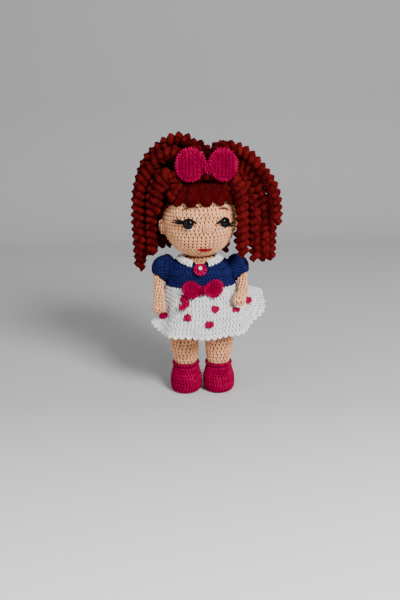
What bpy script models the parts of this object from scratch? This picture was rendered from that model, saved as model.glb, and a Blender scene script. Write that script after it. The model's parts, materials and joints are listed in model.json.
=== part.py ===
"""A crocheted doll with corkscrew hair, standing in its boots.

Lengths are in metres. The doll stands on the plane z = 0 and faces -Y, so its own left
side is at +X. Body pieces are modelled round the figure's upright axis, head pieces round
the head's centre and each arm round its shoulder, and empties put them in place.
"""

import math

import bmesh
import bpy
from mathutils import Matrix, Vector
from mathutils.geometry import interpolate_bezier

# Fits
gap = 0.0003
overrun = 0.002
crochet_wall = 0.0022

# The figure's axis in the frame, whose origin is under the middle of the whole box
figure_x = -0.0062
figure_y = -0.0030

# Torso, as half widths at heights above the floor; its depth is a share of its width
torso_depth_share = 0.80
torso_base_z = 0.0480
hip_half_width = 0.0265
hip_z = 0.0660
waist_half_width = 0.0272
waist_z = 0.0920
shoulder_half_width = 0.0262
shoulder_z = 0.1085
neck_radius = 0.0115
neck_base_z = 0.1157
neck_length = 0.0083
neck_top_z = neck_base_z + neck_length
dowel_radius = 0.0030
dowel_depth = 0.0125
dowel_base_z = neck_top_z - dowel_depth
dowel_length = 0.0310

# Legs and boots
leg_foot_spread = 0.0144
leg_hip_spread = 0.0165
ankle_radius = 0.0084
calf_radius = 0.0109
thigh_radius = 0.0126
leg_top_z = 0.0620
boot_height = 0.0245
boot_half_width = 0.0141
boot_half_length = 0.0172
boot_toe_shift = 0.0030
sole_thickness = 0.0022
insole_thickness = 0.0010
boot_outline_shares = (
    (0.00, 0.84, 0.87, 0.9),
    (0.07, 0.95, 0.97, 1.0),
    (0.28, 1.00, 1.00, 1.0),
    (0.52, 0.97, 0.91, 0.8),
    (0.72, 0.87, 0.75, 0.4),
    (0.86, 0.80, 0.66, 0.1),
    (1.00, 0.89, 0.73, 0.0),
)

# Arms, hung on one cord through the shoulders; the angles lift them from hanging straight
arm_x = 0.0353
arm_top_radius = 0.0043
arm_radius = 0.0048
upper_arm_length = 0.0200
forearm_length = 0.0200
arm_top_height = 0.0030
right_arm_lifts = (math.radians(28), math.radians(34), 0.0)
left_arm_lifts = (math.radians(31), math.radians(70), math.radians(12))
cord_radius = 0.0008
knot_radius = 0.0019
knot_length = 0.0030

# Dress
shoulder_seam_x = 0.0300
sleeve_radius = 0.0116
shoulder_seat_shares = ((1.00, 1.00), (0.93, 0.90), (0.76, 0.82), (0.42, 0.74))
sleeve_length = 0.0116
yoke_hem_z = 0.0965
yoke_rise = 0.0015
yoke_top_z = neck_base_z + yoke_rise
skirt_hem_z = 0.0590
skirt_half_depth = 0.0420
skirt_half_width = 0.0450
skirt_left_reach = 0.0600
skirt_left_lift = 0.0330
skirt_right_lift = 0.0080
skirt_lift_turn = math.radians(32)
skirt_fold_depth = 0.0022
skirt_folds = 9
# Where an arm presses the skirt in: the angle from the left side, half its width, the share
# of the flare that is lost, and the height below which the cloth springs out again
skirt_dents = (
    (math.radians(-27), math.radians(21), 0.90, 0.0800),
    (math.radians(-155), math.radians(22), 0.62, 0.0710),
)
skirt_spring_height = 0.0100
neckline_half_width = 0.0138
neckline_half_depth = 0.0138
neckline_forward = 0.0024
collar_width = 0.0056
collar_thickness = 0.0014
collar_opening = 0.0140
flower_radius = 0.0053
flower_thickness = 0.0018
flower_drop = 0.0039
flower_z = neck_base_z - flower_drop
flower_petals = 8
petal_share = 0.10
bead_radius = 0.0016
waist_bow_x = 0.0018
waist_bow_z = 0.0950
waist_loop_half_width = 0.0076
waist_loop_half_height = 0.0080
waist_loop_thickness = 0.0034
waist_knot_half_width = 0.0024
waist_knot_half_height = 0.0042
waist_tail_length = 0.0100
waist_tail_half_width = 0.0030
waist_tail_lean = math.radians(52)
waist_bow_scallops = 10
waist_loop_pinch = 0.35
loop_scallop_share = 0.03

# Head and face; the head is turned to the doll's left as it stands
head_radius = 0.0312
head_sink = 0.0054
head_z = neck_top_z + head_radius - head_sink
head_turn = math.radians(12)
eye_azimuth = math.radians(28.8)
eye_elevation = math.radians(2.5)
eye_radius = 0.0045
eye_dome = 0.0027
eye_rim = 0.0006
stem_radius = 0.0015
stem_length = 0.0090
washer_radius = 0.0045
washer_thickness = 0.0014
washer_depth = 0.0050
nose_elevation = math.radians(-4.5)
nose_half_width = 0.0039
nose_half_height = 0.0026
nose_height = 0.0022
ear_elevation = math.radians(-7)
ear_half_width = 0.0043
ear_half_height = 0.0062
ear_height = 0.0034
ear_height_shares = (0.55, 0.66, 0.95, 1.00, 0.72)
nose_height_shares = (1.00, 0.93, 0.76, 0.52, 0.24)

# Hair
cap_thickness = 0.0018
cap_tilt = math.radians(38)
cap_polar = math.radians(80)
fringe_half_angle = math.radians(62)
fringe_tongues = 5
fringe_tip_elevation = math.radians(26)
fringe_notch_elevation = math.radians(35)
fringe_top_elevation = math.radians(63)
fringe_thickness = 0.0036
fringe_groove_share = 0.45
fringe_crest = 0.0050
hair_bow_x = 0.0032
hair_bow_forward = 0.0192
hair_bow_rise = 0.0482
hair_loop_half_width = 0.0126
hair_loop_half_height = 0.0141
hair_loop_thickness = 0.0056
hair_knot_half_width = 0.0032
hair_knot_half_height = 0.0056
hair_loop_pinch = 0.30
hair_bow_scallops = 14
curl_radius = 0.0048
curl_groove_radius = 0.0033
curl_pitch = 0.0120
curl_taper = 0.0180
bunch_reach = 0.0650
bunch_rise = 0.0682
bunch_drop = 0.0405
bunch_shoulder_share = 0.22
left_arch_round_share = 0.40
right_arch_round_share = 0.55

# Each lock: where its root is on the cap, out to the side and back, as shares of the
# cap's radius; the angle in degrees from the side to the back at which it falls; then its
# reach, rise and drop as shares of the bunch's, and how far along its arch the crest is.
right_lock_shares = (
    (0.72, -0.25, -9, 0.657, 0.60, 0.63, 0.35),
    (-0.06, -0.12, 5, 0.790, 1.00, 1.00, 0.30),
    (0.85, 0.15, 17, 0.642, 0.54, 0.60, 0.40),
    (0.21, 0.15, 22, 0.797, 0.92, 0.93, 0.24),
    (0.55, 0.15, 35, 0.740, 0.66, 0.79, 0.35),
    (0.71, 0.53, 45, 0.612, 0.47, 0.65, 0.40),
    (0.38, 0.43, 50, 0.780, 0.73, 0.74, 0.35),
    (0.46, 0.74, 64, 0.646, 0.49, 0.70, 0.40),
    (0.24, 0.83, 82, 0.649, 0.47, 0.70, 0.40),
    (0.13, 0.49, 66, 0.822, 0.86, 0.65, 0.30),
    (0.21, -0.25, -7, 0.822, 0.85, 0.63, 0.28),
    (-0.04, 0.86, 98, 0.647, 0.45, 0.70, 0.40),
)
left_lock_shares = (
    (0.75, -0.32, -43, 0.642, 0.50, 0.67, 0.48),
    (0.87, 0.01, -26, 0.725, 0.45, 0.84, 0.42),
    (0.48, -0.24, -15, 0.835, 0.73, 0.86, 0.32),
    (0.24, 0.05, -3, 0.955, 0.89, 0.91, 0.28),
    (0.24, -0.25, -22, 1.000, 0.90, 0.07, 0.28),
    (0.81, 0.31, 1, 0.685, 0.45, 0.60, 0.42),
    (0.55, 0.15, 9, 0.818, 0.73, 0.74, 0.33),
    (0.69, 0.53, 24, 0.669, 0.47, 0.67, 0.45),
    (0.24, 0.38, 16, 0.949, 0.88, 0.65, 0.30),
    (0.45, 0.43, 30, 0.845, 0.68, 0.74, 0.35),
    (0.49, 0.71, 46, 0.648, 0.45, 0.70, 0.45),
    (0.29, 0.82, 65, 0.666, 0.48, 0.70, 0.40),
)

# Facets
round_sides = 24
boot_sides = 20
limb_sides = 12
small_sides = 12
skirt_sides = 48
skirt_rows = 5
curl_sides = 8

# The wig's cap clears the head even where one has corners and the other flats
cap_inner_radius = (head_radius + gap) / math.cos(math.pi / round_sides)
cap_outer_radius = cap_inner_radius + cap_thickness


def clear_scene():
    for thing in list(bpy.data.objects):
        bpy.data.objects.remove(thing, do_unlink=True)


def yarn(name, colour, roughness=0.9):
    material = bpy.data.materials.new(name)
    material.use_nodes = True
    shader = material.node_tree.nodes["Principled BSDF"]
    shader.inputs["Base Color"].default_value = (*colour, 1.0)
    shader.inputs["Roughness"].default_value = roughness
    shader.inputs["Metallic"].default_value = 0.0
    return material


def axis(name, location, parent=None, turn=0.0):
    empty = bpy.data.objects.new(name, None)
    empty.location = location
    empty.rotation_euler = (0, 0, turn)
    empty.parent = parent
    bpy.context.collection.objects.link(empty)
    return empty


def add(name, bm, material, parent):
    """Turns the mesh under construction into an object and hangs it on its empty."""
    bmesh.ops.recalc_face_normals(bm, faces=bm.faces)
    mesh = bpy.data.meshes.new(name)
    bm.to_mesh(mesh)
    bm.free()
    mesh.shade_smooth()
    mesh.set_sharp_from_angle(angle=math.radians(45))
    obj = bpy.data.objects.new(name, mesh)
    bpy.context.collection.objects.link(obj)
    obj.parent = parent
    if material:
        mesh.materials.append(material)
    else:
        obj.hide_render = True
        obj.display_type = "WIRE"
    return obj


def combine(obj, tool, operation="DIFFERENCE", solver="EXACT"):
    modifier = obj.modifiers.new(tool.name, "BOOLEAN")
    modifier.operation = operation
    modifier.solver = solver
    modifier.object = tool
    return obj


def skin(rings, closed=False):
    """A surface over rings of points; a ring of one point is a pole. A closed one meets itself."""
    bm = bmesh.new()
    rows = [[bm.verts.new(point) for point in ring] for ring in rings]
    pairs = list(zip(rows, rows[1:]))
    if closed:
        pairs.append((rows[-1], rows[0]))
    for lower, upper in pairs:
        sides = max(len(lower), len(upper))
        for i in range(sides):
            j = (i + 1) % sides
            if len(lower) == 1:
                bm.faces.new((lower[0], upper[j], upper[i]))
            elif len(upper) == 1:
                bm.faces.new((lower[i], lower[j], upper[0]))
            else:
                bm.faces.new((lower[i], lower[j], upper[j], upper[i]))
    if not closed:
        for row in (rows[0], rows[-1]):
            if len(row) > 2:
                bm.faces.new(row)
    return bm


def oval(half_width, half_depth, z, x=0.0, y=0.0, sides=round_sides):
    turns = [2 * math.pi * i / sides for i in range(sides)]
    return [
        Vector((x + half_width * math.cos(a), y + half_depth * math.sin(a), z)) for a in turns
    ]


def turned(outline, depth_share=1.0, sides=round_sides, closed=False):
    """The outline's (radius, height) points turned round the upright axis."""
    rings = []
    for radius, z in outline:
        pole = radius <= 0
        rings.append([Vector((0, 0, z))] if pole else oval(radius, radius * depth_share, z, sides=sides))
    return skin(rings, closed)


def flowing(points, steps):
    """A smooth line through the points, each stretch in equal steps."""
    points = [Vector(p) for p in points]
    line = []
    for i in range(len(points) - 1):
        before = points[max(i - 1, 0)]
        here, there = points[i], points[i + 1]
        after = points[min(i + 2, len(points) - 1)]
        leave = here + (there - before) / 6
        arrive = there - (after - here) / 6
        for k in range(steps):
            t = k / steps
            line.append(
                here * (1 - t) ** 3
                + leave * 3 * t * (1 - t) ** 2
                + arrive * 3 * t * t * (1 - t)
                + there * t ** 3
            )
    line.append(points[-1])
    return line


def grown(outline, by):
    """The outline of (radius, height) points moved outward."""
    moved = []
    for i, (radius, z) in enumerate(outline):
        before = outline[max(i - 1, 0)]
        after = outline[min(i + 1, len(outline) - 1)]
        along = Vector((after[0] - before[0], after[1] - before[1])).normalized()
        out = Vector((along.y, -along.x))
        moved.append((max(radius + out.x * by, 0.0) if radius > 0 else 0.0, z + out.y * by))
    return moved


def swept(centres, radii, sides=limb_sides):
    """A round tube of changing radius along the centres, closed at both ends by poles."""
    rings = [[centres[0]]]
    normal = None
    for i in range(1, len(centres) - 1):
        along = (centres[i + 1] - centres[i - 1]).normalized()
        start = normal or Vector((1, 0, 0))
        normal = (start - along * start.dot(along)).normalized()
        side = along.cross(normal)
        turns = [2 * math.pi * k / sides for k in range(sides)]
        rings.append(
            [centres[i] + (normal * math.cos(a) + side * math.sin(a)) * radii[i] for a in turns]
        )
    rings.append([centres[-1]])
    return skin(rings)


def rod(name, radius, start, end, parent):
    """A plain round cutter from start to end."""
    start, end = Vector(start), Vector(end)
    along = end - start
    bm = bmesh.new()
    bmesh.ops.create_cone(
        bm,
        cap_ends=True,
        segments=limb_sides,
        radius1=radius,
        radius2=radius,
        depth=along.length,
        matrix=Matrix.Translation((start + end) / 2) @ along.to_track_quat("Z", "Y").to_matrix().to_4x4(),
    )
    return add(name, bm, None, parent)


def pillow(half_width, half_height, thickness, scallops=0, scallop_share=0.04, pinch=0.0):
    """A puffed flat piece in the XZ plane; its edge may be scalloped and one end pinched in."""
    sides = max(small_sides, 2 * scallops)
    levels = ((1.00, 0.30), (0.86, 0.80), (0.45, 1.00))

    def ring(spread, height):
        points = []
        for i in range(sides):
            a = 2 * math.pi * i / sides
            wave = 1 + scallop_share * math.cos(scallops * a) if scallops else 1
            narrow = 1 - abs(pinch) * max(0.0, math.copysign(1, pinch) * math.cos(a)) ** 2
            x = half_width * spread * wave * math.cos(a)
            z = half_height * spread * wave * narrow * math.sin(a)
            points.append(Vector((x, height, z)))
        return points

    half = thickness / 2
    front = [ring(spread, -half * height) for spread, height in levels]
    back = [ring(spread, half * height) for spread, height in levels]
    return skin([[Vector((0, -half * 0.9, 0))], *front[::-1], *back, [Vector((0, half * 0.9, 0))]])


def on_head(azimuth, elevation):
    """A frame at the head's centre whose Z points out at the face and whose Y points up it."""
    out = Vector((
        math.sin(azimuth) * math.cos(elevation),
        -math.cos(azimuth) * math.cos(elevation),
        math.sin(elevation),
    ))
    across = Vector((math.cos(azimuth), math.sin(azimuth), 0))
    return Matrix((across, out.cross(across), out)).transposed().to_4x4()


def button_on_head(place, half_width, half_height, height, height_shares):
    """A low bump that sits on the head, its back following the head's curve."""
    spreads = [i / len(height_shares) for i in range(len(height_shares))]

    def point(spread, a, lift):
        x = half_width * spread * math.cos(a)
        y = half_height * spread * math.sin(a)
        on_surface = Vector((x, y, head_radius)).normalized()
        return place @ (on_surface * (head_radius + gap + lift))

    turns = [2 * math.pi * i / limb_sides for i in range(limb_sides)]
    rings = [[point(0, 0, height * height_shares[0])]]
    for spread, share in list(zip(spreads, height_shares))[1:]:
        rings.append([point(spread, a, height * share) for a in turns])
    rings.append([point(1.0, a, 0) for a in turns])
    rings.append([point(spreads[2], a, 0) for a in turns])
    rings.append([point(0, 0, 0)])
    return skin(rings)


def torso_outline():
    points = (
        (0.55 * hip_half_width, torso_base_z),
        (0.88 * hip_half_width, torso_base_z + 0.25 * (hip_z - torso_base_z)),
        (hip_half_width, hip_z),
        (waist_half_width, waist_z),
        (shoulder_half_width, shoulder_z),
        (0.5 * (shoulder_half_width + neck_radius), neck_base_z - 0.2 * (neck_base_z - shoulder_z)),
        (neck_radius, neck_base_z + 0.2 * (neck_top_z - neck_base_z)),
        (neck_radius, neck_top_z),
    )
    line = [(p.x, p.y) for p in flowing(points, 2)]
    return [(0.0, torso_base_z), *line, (0.0, neck_top_z)]


def outline_between(low, high):
    """The torso's outline from one height to another, with its ends found between its points."""
    outline = [p for p in torso_outline() if p[0] > 0]
    line = []
    for (r0, z0), (r1, z1) in zip(outline, outline[1:]):
        for z in (low, high):
            if z0 <= z < z1:
                line.append((r0 + (r1 - r0) * (z - z0) / (z1 - z0), z))
        if low < z1 < high:
            line.append((r1, z1))
    return line


def arm_centres(side, lifts):
    """The line through an arm, from its top over the elbow to the end of the hand."""
    upper, fore, inward = lifts
    elbow = Vector((0, -math.sin(upper), -math.cos(upper))) * upper_arm_length
    reach = Vector((
        -side * math.sin(inward),
        -math.sin(fore) * math.cos(inward),
        -math.cos(fore) * math.cos(inward),
    ))
    top = -elbow.normalized() * (arm_top_height + arm_top_radius)
    hand = elbow + reach * forearm_length
    return flowing((top, -elbow * 0.05, elbow, elbow + reach * forearm_length * 0.6, hand), 4)


def arm_radii(count, extra=0.0):
    shares = ((0.0, 0.0), (0.06, 0.62), (0.14, 0.95), (0.25, 1.0), (0.45, 1.0), (0.62, 0.98),
              (0.74, 1.08), (0.86, 1.19), (0.95, 0.92), (1.0, 0.0))
    radii = []
    for i in range(count):
        t = i / (count - 1)
        for (t0, r0), (t1, r1) in zip(shares, shares[1:]):
            if t0 <= t <= t1:
                share = r0 + (r1 - r0) * (t - t0) / (t1 - t0)
        body = arm_top_radius if t < 0.25 else arm_radius
        radii.append(share * body + extra)
    return radii


def ring_of_boot(shares, inset, side):
    height, wide, long, shift = shares
    return oval(
        boot_half_width * wide - inset,
        boot_half_length * long - inset,
        boot_height * height,
        x=side * leg_foot_spread,
        y=-boot_toe_shift * shift,
        sides=boot_sides,
    )


def foot_ring(z, inset, side):
    """The oval inside the boot at a height, at a depth below the boot's outside."""
    share = z / boot_height
    for low, high in zip(boot_outline_shares, boot_outline_shares[1:]):
        if low[0] <= share <= high[0]:
            t = (share - low[0]) / (high[0] - low[0])
            mixed = [a + (b - a) * t for a, b in zip(low, high)]
            return ring_of_boot(mixed, inset, side)
    return ring_of_boot(boot_outline_shares[-1], inset, side)


def build_torso(body, head, wool):
    torso = add("torso", turned(torso_outline(), torso_depth_share), wool["skin"], body)
    ball = bmesh.new()
    bmesh.ops.create_uvsphere(ball, u_segments=round_sides, v_segments=14, radius=head_radius + gap)
    seat = add("neck_seat_cutter", ball, None, head)
    combine(torso, seat)
    dowel_top = dowel_base_z + dowel_length
    outline = (
        (0, dowel_base_z),
        (dowel_radius, dowel_base_z),
        (dowel_radius, dowel_top),
        (0, dowel_top),
    )
    add("neck_dowel", turned(outline, sides=limb_sides), wool["wood"], body)
    low, high = (0, 0, dowel_base_z - gap), (0, 0, neck_top_z + overrun)
    combine(torso, rod("dowel_bore_cutter", dowel_radius + gap, low, high, body))
    return torso, seat


def build_arm_cord(body, torso, yoke, wool):
    """One cord through the body, with a knot inside the top of each arm."""
    reach = arm_x + knot_length / 2
    shares = ((0.0, 0.0), (0.15, 0.7), (0.5, 1.0), (0.85, 0.7))
    end = [(knot_radius * r, -reach + knot_length * t) for t, r in shares]
    thin = [(cord_radius, -reach + knot_length), (cord_radius, reach - knot_length)]
    outline = end + thin + [(r, -z) for r, z in end[::-1]]
    bm = turned(outline, sides=limb_sides)
    bmesh.ops.rotate(bm, verts=bm.verts, matrix=Matrix.Rotation(math.pi / 2, 3, "Y"))
    bmesh.ops.translate(bm, verts=bm.verts, vec=(0, 0, shoulder_z))
    add("arm_joint_cord", bm, wool["cord"], body)
    end = shoulder_seam_x + overrun
    start, finish = (-end, 0, shoulder_z), (end, 0, shoulder_z)
    bore = rod("cord_bore_cutter", cord_radius + gap, start, finish, body)
    combine(torso, bore)
    combine(yoke, bore)


def build_leg(side, name, body, wool):
    """A stuffed leg: the foot fills the boot, the ankle narrows, and the thigh meets the torso."""
    inset = crochet_wall + gap
    foot_base = sole_thickness + insole_thickness + 2 * gap
    foot_z = [boot_height * share for share in (0.25, 0.42, 0.58, 0.74)]
    rings = [foot_ring(z, inset, side) for z in (foot_base, *foot_z)]
    lean = (leg_hip_spread - leg_foot_spread) / (leg_top_z - boot_height)
    above = leg_top_z - boot_height
    for z, radius in (
        (0.90 * boot_height, ankle_radius),
        (boot_height + 0.06 * above, 0.97 * calf_radius),
        (boot_height + 0.15 * above, calf_radius),
        (boot_height + 0.30 * above, 0.97 * thigh_radius),
        (boot_height + 0.60 * above, thigh_radius),
        (leg_top_z, 0.97 * thigh_radius),
    ):
        x = side * (leg_foot_spread + lean * max(0.0, z - boot_height))
        rings.append(oval(radius, radius, z, x=x, sides=boot_sides))
    leg = add(f"{name}_leg", skin(rings), wool["skin"], body)
    cutter = add(f"{name}_hip_cutter", turned(grown(torso_outline(), gap), torso_depth_share), None, body)
    combine(leg, cutter)

    rings = [ring_of_boot(shares, 0.0, side) for shares in boot_outline_shares]
    boot = add(f"{name}_boot", skin(rings), wool["magenta"], body)
    heights = (sole_thickness, *(boot_height * s[0] for s in boot_outline_shares[2:]))
    rings = [foot_ring(z, crochet_wall, side) for z in heights]
    top = [point + Vector((0, 0, overrun)) for point in rings[-1]]
    combine(boot, add(f"{name}_boot_cutter", skin([*rings, top]), None, body))

    low, high = sole_thickness + gap, sole_thickness + gap + insole_thickness
    inside = [foot_ring(z, inset, side) for z in (low, low)]
    for point in inside[1]:
        point.z = high
    add(f"{name}_insole", skin(inside), wool["board"], body)


def build_yoke(body, seat, wool):
    """The dress top: a shell over the torso with a short round seat at each shoulder."""
    outline = grown(outline_between(yoke_hem_z, yoke_top_z), crochet_wall + gap)
    outline[0] = (outline[0][0], yoke_hem_z)
    outline = [(0, yoke_hem_z), *outline, (0, outline[-1][1])]
    yoke = add("dress_yoke", turned(outline, torso_depth_share), wool["navy"], body)
    half = [(0, shoulder_seam_x)]
    half += [(sleeve_radius * r, shoulder_seam_x * x) for r, x in shoulder_seat_shares]
    bm = turned([*[(r, -x) for r, x in half], *half[::-1]], sides=boot_sides)
    bmesh.ops.rotate(bm, verts=bm.verts, matrix=Matrix.Rotation(math.pi / 2, 3, "Y"))
    bmesh.ops.translate(bm, verts=bm.verts, vec=(0, 0, shoulder_z))
    combine(yoke, add("shoulder_seats", bm, None, body), "UNION", "MANIFOLD")
    hollow = add("yoke_cutter", turned(grown(torso_outline(), gap), torso_depth_share), None, body)
    for cutter in (hollow, neckline("yoke_neckline_cutter", 0.0, body), seat):
        combine(yoke, cutter, solver="MANIFOLD")
    return yoke


def skirt_surface(a, t):
    """A point on the skirt's outside, at a turn round it and a share of the way down."""
    lobe = max(0.0, math.cos(a - skirt_lift_turn)) ** 3
    right = max(0.0, -math.cos(a)) ** 6
    reach = skirt_half_width + (skirt_left_reach - skirt_half_width) * lobe
    hem = skirt_hem_z + skirt_left_lift * lobe + skirt_right_lift * right
    top_z = yoke_hem_z - gap
    z = top_z - t * (top_z - hem)
    top_x = waist_half_width + gap + crochet_wall
    top_y = waist_half_width * torso_depth_share + gap + crochet_wall
    spread = t ** 0.85
    for middle, width, depth_share, low_z in skirt_dents:
        away = math.remainder(a - middle, 2 * math.pi) / width
        beside = min(1.0, max(0.0, 1 + (z - low_z) / skirt_spring_height))
        spread *= 1 - depth_share * math.exp(-away ** 2) * beside
    fold = skirt_fold_depth * t * math.cos(skirt_folds * a + 0.4) * (0.6 + 0.4 * abs(math.cos(a)))
    half_x = top_x + (reach - top_x) * spread + fold
    half_y = top_y + (skirt_half_depth - top_y) * spread + fold
    return Vector((half_x * math.cos(a), half_y * math.sin(a), z))


def skirt_point(a, t, inward):
    """A point on the skirt, moved in square to the cloth from its outside."""
    step = 0.01
    across = skirt_surface(a + step, t) - skirt_surface(a - step, t)
    down = skirt_surface(a, min(1, t + step)) - skirt_surface(a, max(0, t - step))
    return skirt_surface(a, t) + across.cross(down).normalized() * inward


def build_skirt(body, wool):
    steps = [i / skirt_rows for i in range(skirt_rows + 1)]
    turns = [2 * math.pi * i / skirt_sides for i in range(skirt_sides)]
    outside = [[skirt_point(a, t, 0) for a in turns] for t in steps]
    inside = [[skirt_point(a, t, crochet_wall) for a in turns] for t in steps[::-1]]
    add("dress_skirt", skin(outside + inside, closed=True), wool["white"], body)


def neckline(name, extra, body):
    """An upright oval column the size of the dress's neck opening, or larger all round."""
    half_width, half_depth = neckline_half_width + extra, neckline_half_depth + extra
    heights = (waist_z, neck_top_z + overrun)
    ends = [oval(half_width, half_depth, z, y=-neckline_forward) for z in heights]
    return add(name, skin(ends), None, body)


def build_collar(body, seat, wool):
    """The flat collar lies on the yoke round the neck opening and is open at the front."""
    line = outline_between(shoulder_z, yoke_top_z)
    inner = grown(line, crochet_wall + 3 * gap)
    outer = grown(line, crochet_wall + 3 * gap + collar_thickness)
    band = turned([*inner, *outer[::-1]], torso_depth_share, closed=True)
    collar = add("collar", band, wool["white"], body)
    combine(collar, neckline("collar_edge", collar_width, body), "INTERSECT")
    combine(collar, neckline("collar_neckline_cutter", gap, body))
    bm = bmesh.new()
    bmesh.ops.create_cube(bm, size=1.0)
    bmesh.ops.scale(bm, verts=bm.verts, vec=(collar_opening, 2 * waist_half_width, neck_top_z))
    bmesh.ops.translate(bm, verts=bm.verts, vec=(0, -waist_half_width, neck_top_z))
    combine(collar, add("collar_cutter", bm, None, body))
    combine(collar, seat)


def yoke_front(z):
    """How far forward the yoke's outside is at a height."""
    outline = grown([p for p in torso_outline() if p[0] > 0], crochet_wall + gap)
    for (r0, z0), (r1, z1) in zip(outline, outline[1:]):
        if z0 <= z <= z1:
            return (r0 + (r1 - r0) * (z - z0) / (z1 - z0)) * torso_depth_share
    return waist_half_width


def build_flower(body, wool):
    """A flat flower sewn on the collar's opening, with a bead at its middle."""
    low, high = flower_z - flower_radius, flower_z + flower_radius
    lean = math.atan2(yoke_front(low) - yoke_front(high), high - low)
    middle = yoke_front(flower_z) + gap + 0.6 * flower_thickness
    bm = pillow(flower_radius, flower_radius, flower_thickness, flower_petals, petal_share)
    bmesh.ops.rotate(bm, verts=bm.verts, matrix=Matrix.Rotation(-lean, 3, "X"))
    bmesh.ops.translate(bm, verts=bm.verts, vec=(0, -middle, flower_z))
    flower = add("collar_flower", bm, wool["magenta"], body)
    outline = grown(torso_outline(), crochet_wall + 2 * gap)
    combine(flower, add("flower_cutter", turned(outline, torso_depth_share), None, body))
    bm = bmesh.new()
    bmesh.ops.create_uvsphere(bm, u_segments=12, v_segments=8, radius=bead_radius)
    out = Vector((0, -math.cos(lean), math.sin(lean)))
    seat = flower_thickness / 2 + bead_radius + gap
    bmesh.ops.translate(bm, verts=bm.verts, vec=Vector((0, -middle, flower_z)) + out * seat)
    add("flower_bead", bm, wool["pearl"], body)


def build_waist_bow(body, wool):
    """Two puffed loops, a knot and the tail that hangs at one side, laid along the skirt."""
    drop = yoke_hem_z - skirt_hem_z
    top_y = waist_half_width * torso_depth_share + gap + crochet_wall
    lean = math.atan2(skirt_half_depth - top_y, drop)
    knot_thickness = 1.25 * waist_loop_thickness
    seat = -skirt_point(-math.pi / 2, (yoke_hem_z - waist_bow_z) / drop, 0).y
    forward = seat + knot_thickness / 2 + gap
    step = waist_knot_half_width + gap
    waist_loop = (waist_loop_half_width, waist_loop_half_height, waist_loop_thickness)
    pieces = []
    for side, name in ((1, "left"), (-1, "right")):
        bm = pillow(*waist_loop, waist_bow_scallops, loop_scallop_share, -waist_loop_pinch * side)
        x = side * (step + waist_loop_half_width * 1.03)
        bmesh.ops.translate(bm, verts=bm.verts, vec=(x, 0, 0))
        pieces.append((f"waist_bow_{name}_loop", bm))
    knot = pillow(waist_knot_half_width, waist_knot_half_height, knot_thickness)
    pieces.append(("waist_bow_knot", knot))
    bm = pillow(waist_tail_half_width, waist_tail_length / 2, 0.7 * waist_loop_thickness)
    bmesh.ops.rotate(bm, verts=bm.verts, matrix=Matrix.Rotation(waist_tail_lean, 3, "Y"))
    below = waist_loop_half_height + 0.40 * waist_tail_length
    bmesh.ops.translate(bm, verts=bm.verts, vec=(-waist_loop_half_width - 3.0 * step, 0, -below))
    pieces.append(("waist_bow_tail", bm))
    for name, bm in pieces:
        bmesh.ops.rotate(bm, verts=bm.verts, matrix=Matrix.Rotation(-lean, 3, "X"))
        bmesh.ops.translate(bm, verts=bm.verts, vec=(waist_bow_x, -forward, waist_bow_z))
        add(name, bm, wool["magenta"], body)


def build_arm(side, name, lifts, shoulder, body, wool):
    """A stuffed arm, hollowed for the cord and its knot, and the sleeve cap that turns with it."""
    centres = arm_centres(side, lifts)
    arm = add(f"{name}_arm", swept(centres, arm_radii(len(centres))), wool["skin"], shoulder)
    cord_end = knot_length / 2 + gap
    start, end = (-cord_end, 0, 0), (cord_end, 0, 0)
    combine(arm, rod(f"{name}_knot_cutter", knot_radius + gap, start, end, shoulder))
    start, end = (0, 0, 0), (-side * (arm_top_radius + overrun), 0, 0)
    combine(arm, rod(f"{name}_arm_bore_cutter", cord_radius + gap, start, end, shoulder))
    base = shoulder_seam_x + gap - arm_x
    quarter = [math.pi / 2 * i / 4 for i in range(5)]
    outer = [(sleeve_radius * math.cos(q), base + sleeve_length * math.sin(q)) for q in quarter]
    inner_radius, inner_length = sleeve_radius - crochet_wall, sleeve_length - crochet_wall
    inner = [(inner_radius * math.cos(q), base + inner_length * math.sin(q)) for q in quarter]
    outline = [(max(r, 0.0) if i < 4 else 0.0, z) for i, (r, z) in enumerate(outer)]
    hollow = [(max(r, 0.0) if i < 4 else 0.0, z) for i, (r, z) in enumerate(inner)]
    bm = turned([*outline[::-1], *hollow], sides=boot_sides)
    bmesh.ops.rotate(bm, verts=bm.verts, matrix=Matrix.Rotation(side * math.pi / 2, 3, "Y"))
    sleeve = add(f"{name}_sleeve", bm, wool["navy"], shoulder)
    bm = swept(centres, arm_radii(len(centres), gap))
    combine(sleeve, add(f"{name}_armhole_cutter", bm, None, shoulder))


def build_head(head, wool):
    ball = bmesh.new()
    bmesh.ops.create_uvsphere(ball, u_segments=round_sides, v_segments=14, radius=head_radius)
    skull = add("head", ball, wool["skin"], head)
    bore_top = dowel_base_z + dowel_length + gap - head_z
    start, end = (0, 0, -head_radius - overrun), (0, 0, bore_top)
    combine(skull, rod("head_bore_cutter", dowel_radius + gap, start, end, head))
    place = on_head(0, nose_elevation)
    nose = button_on_head(
        place, nose_half_width, nose_half_height, nose_height, nose_height_shares
    )
    add("nose", nose, wool["skin"], head)
    for side, name in ((1, "left"), (-1, "right")):
        build_eye(side, name, skull, head, wool)
        place = on_head(side * math.pi / 2, ear_elevation)
        ear = button_on_head(place, ear_half_width, ear_half_height, ear_height, ear_height_shares)
        add(f"{name}_ear", ear, wool["skin"], head)


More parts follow.
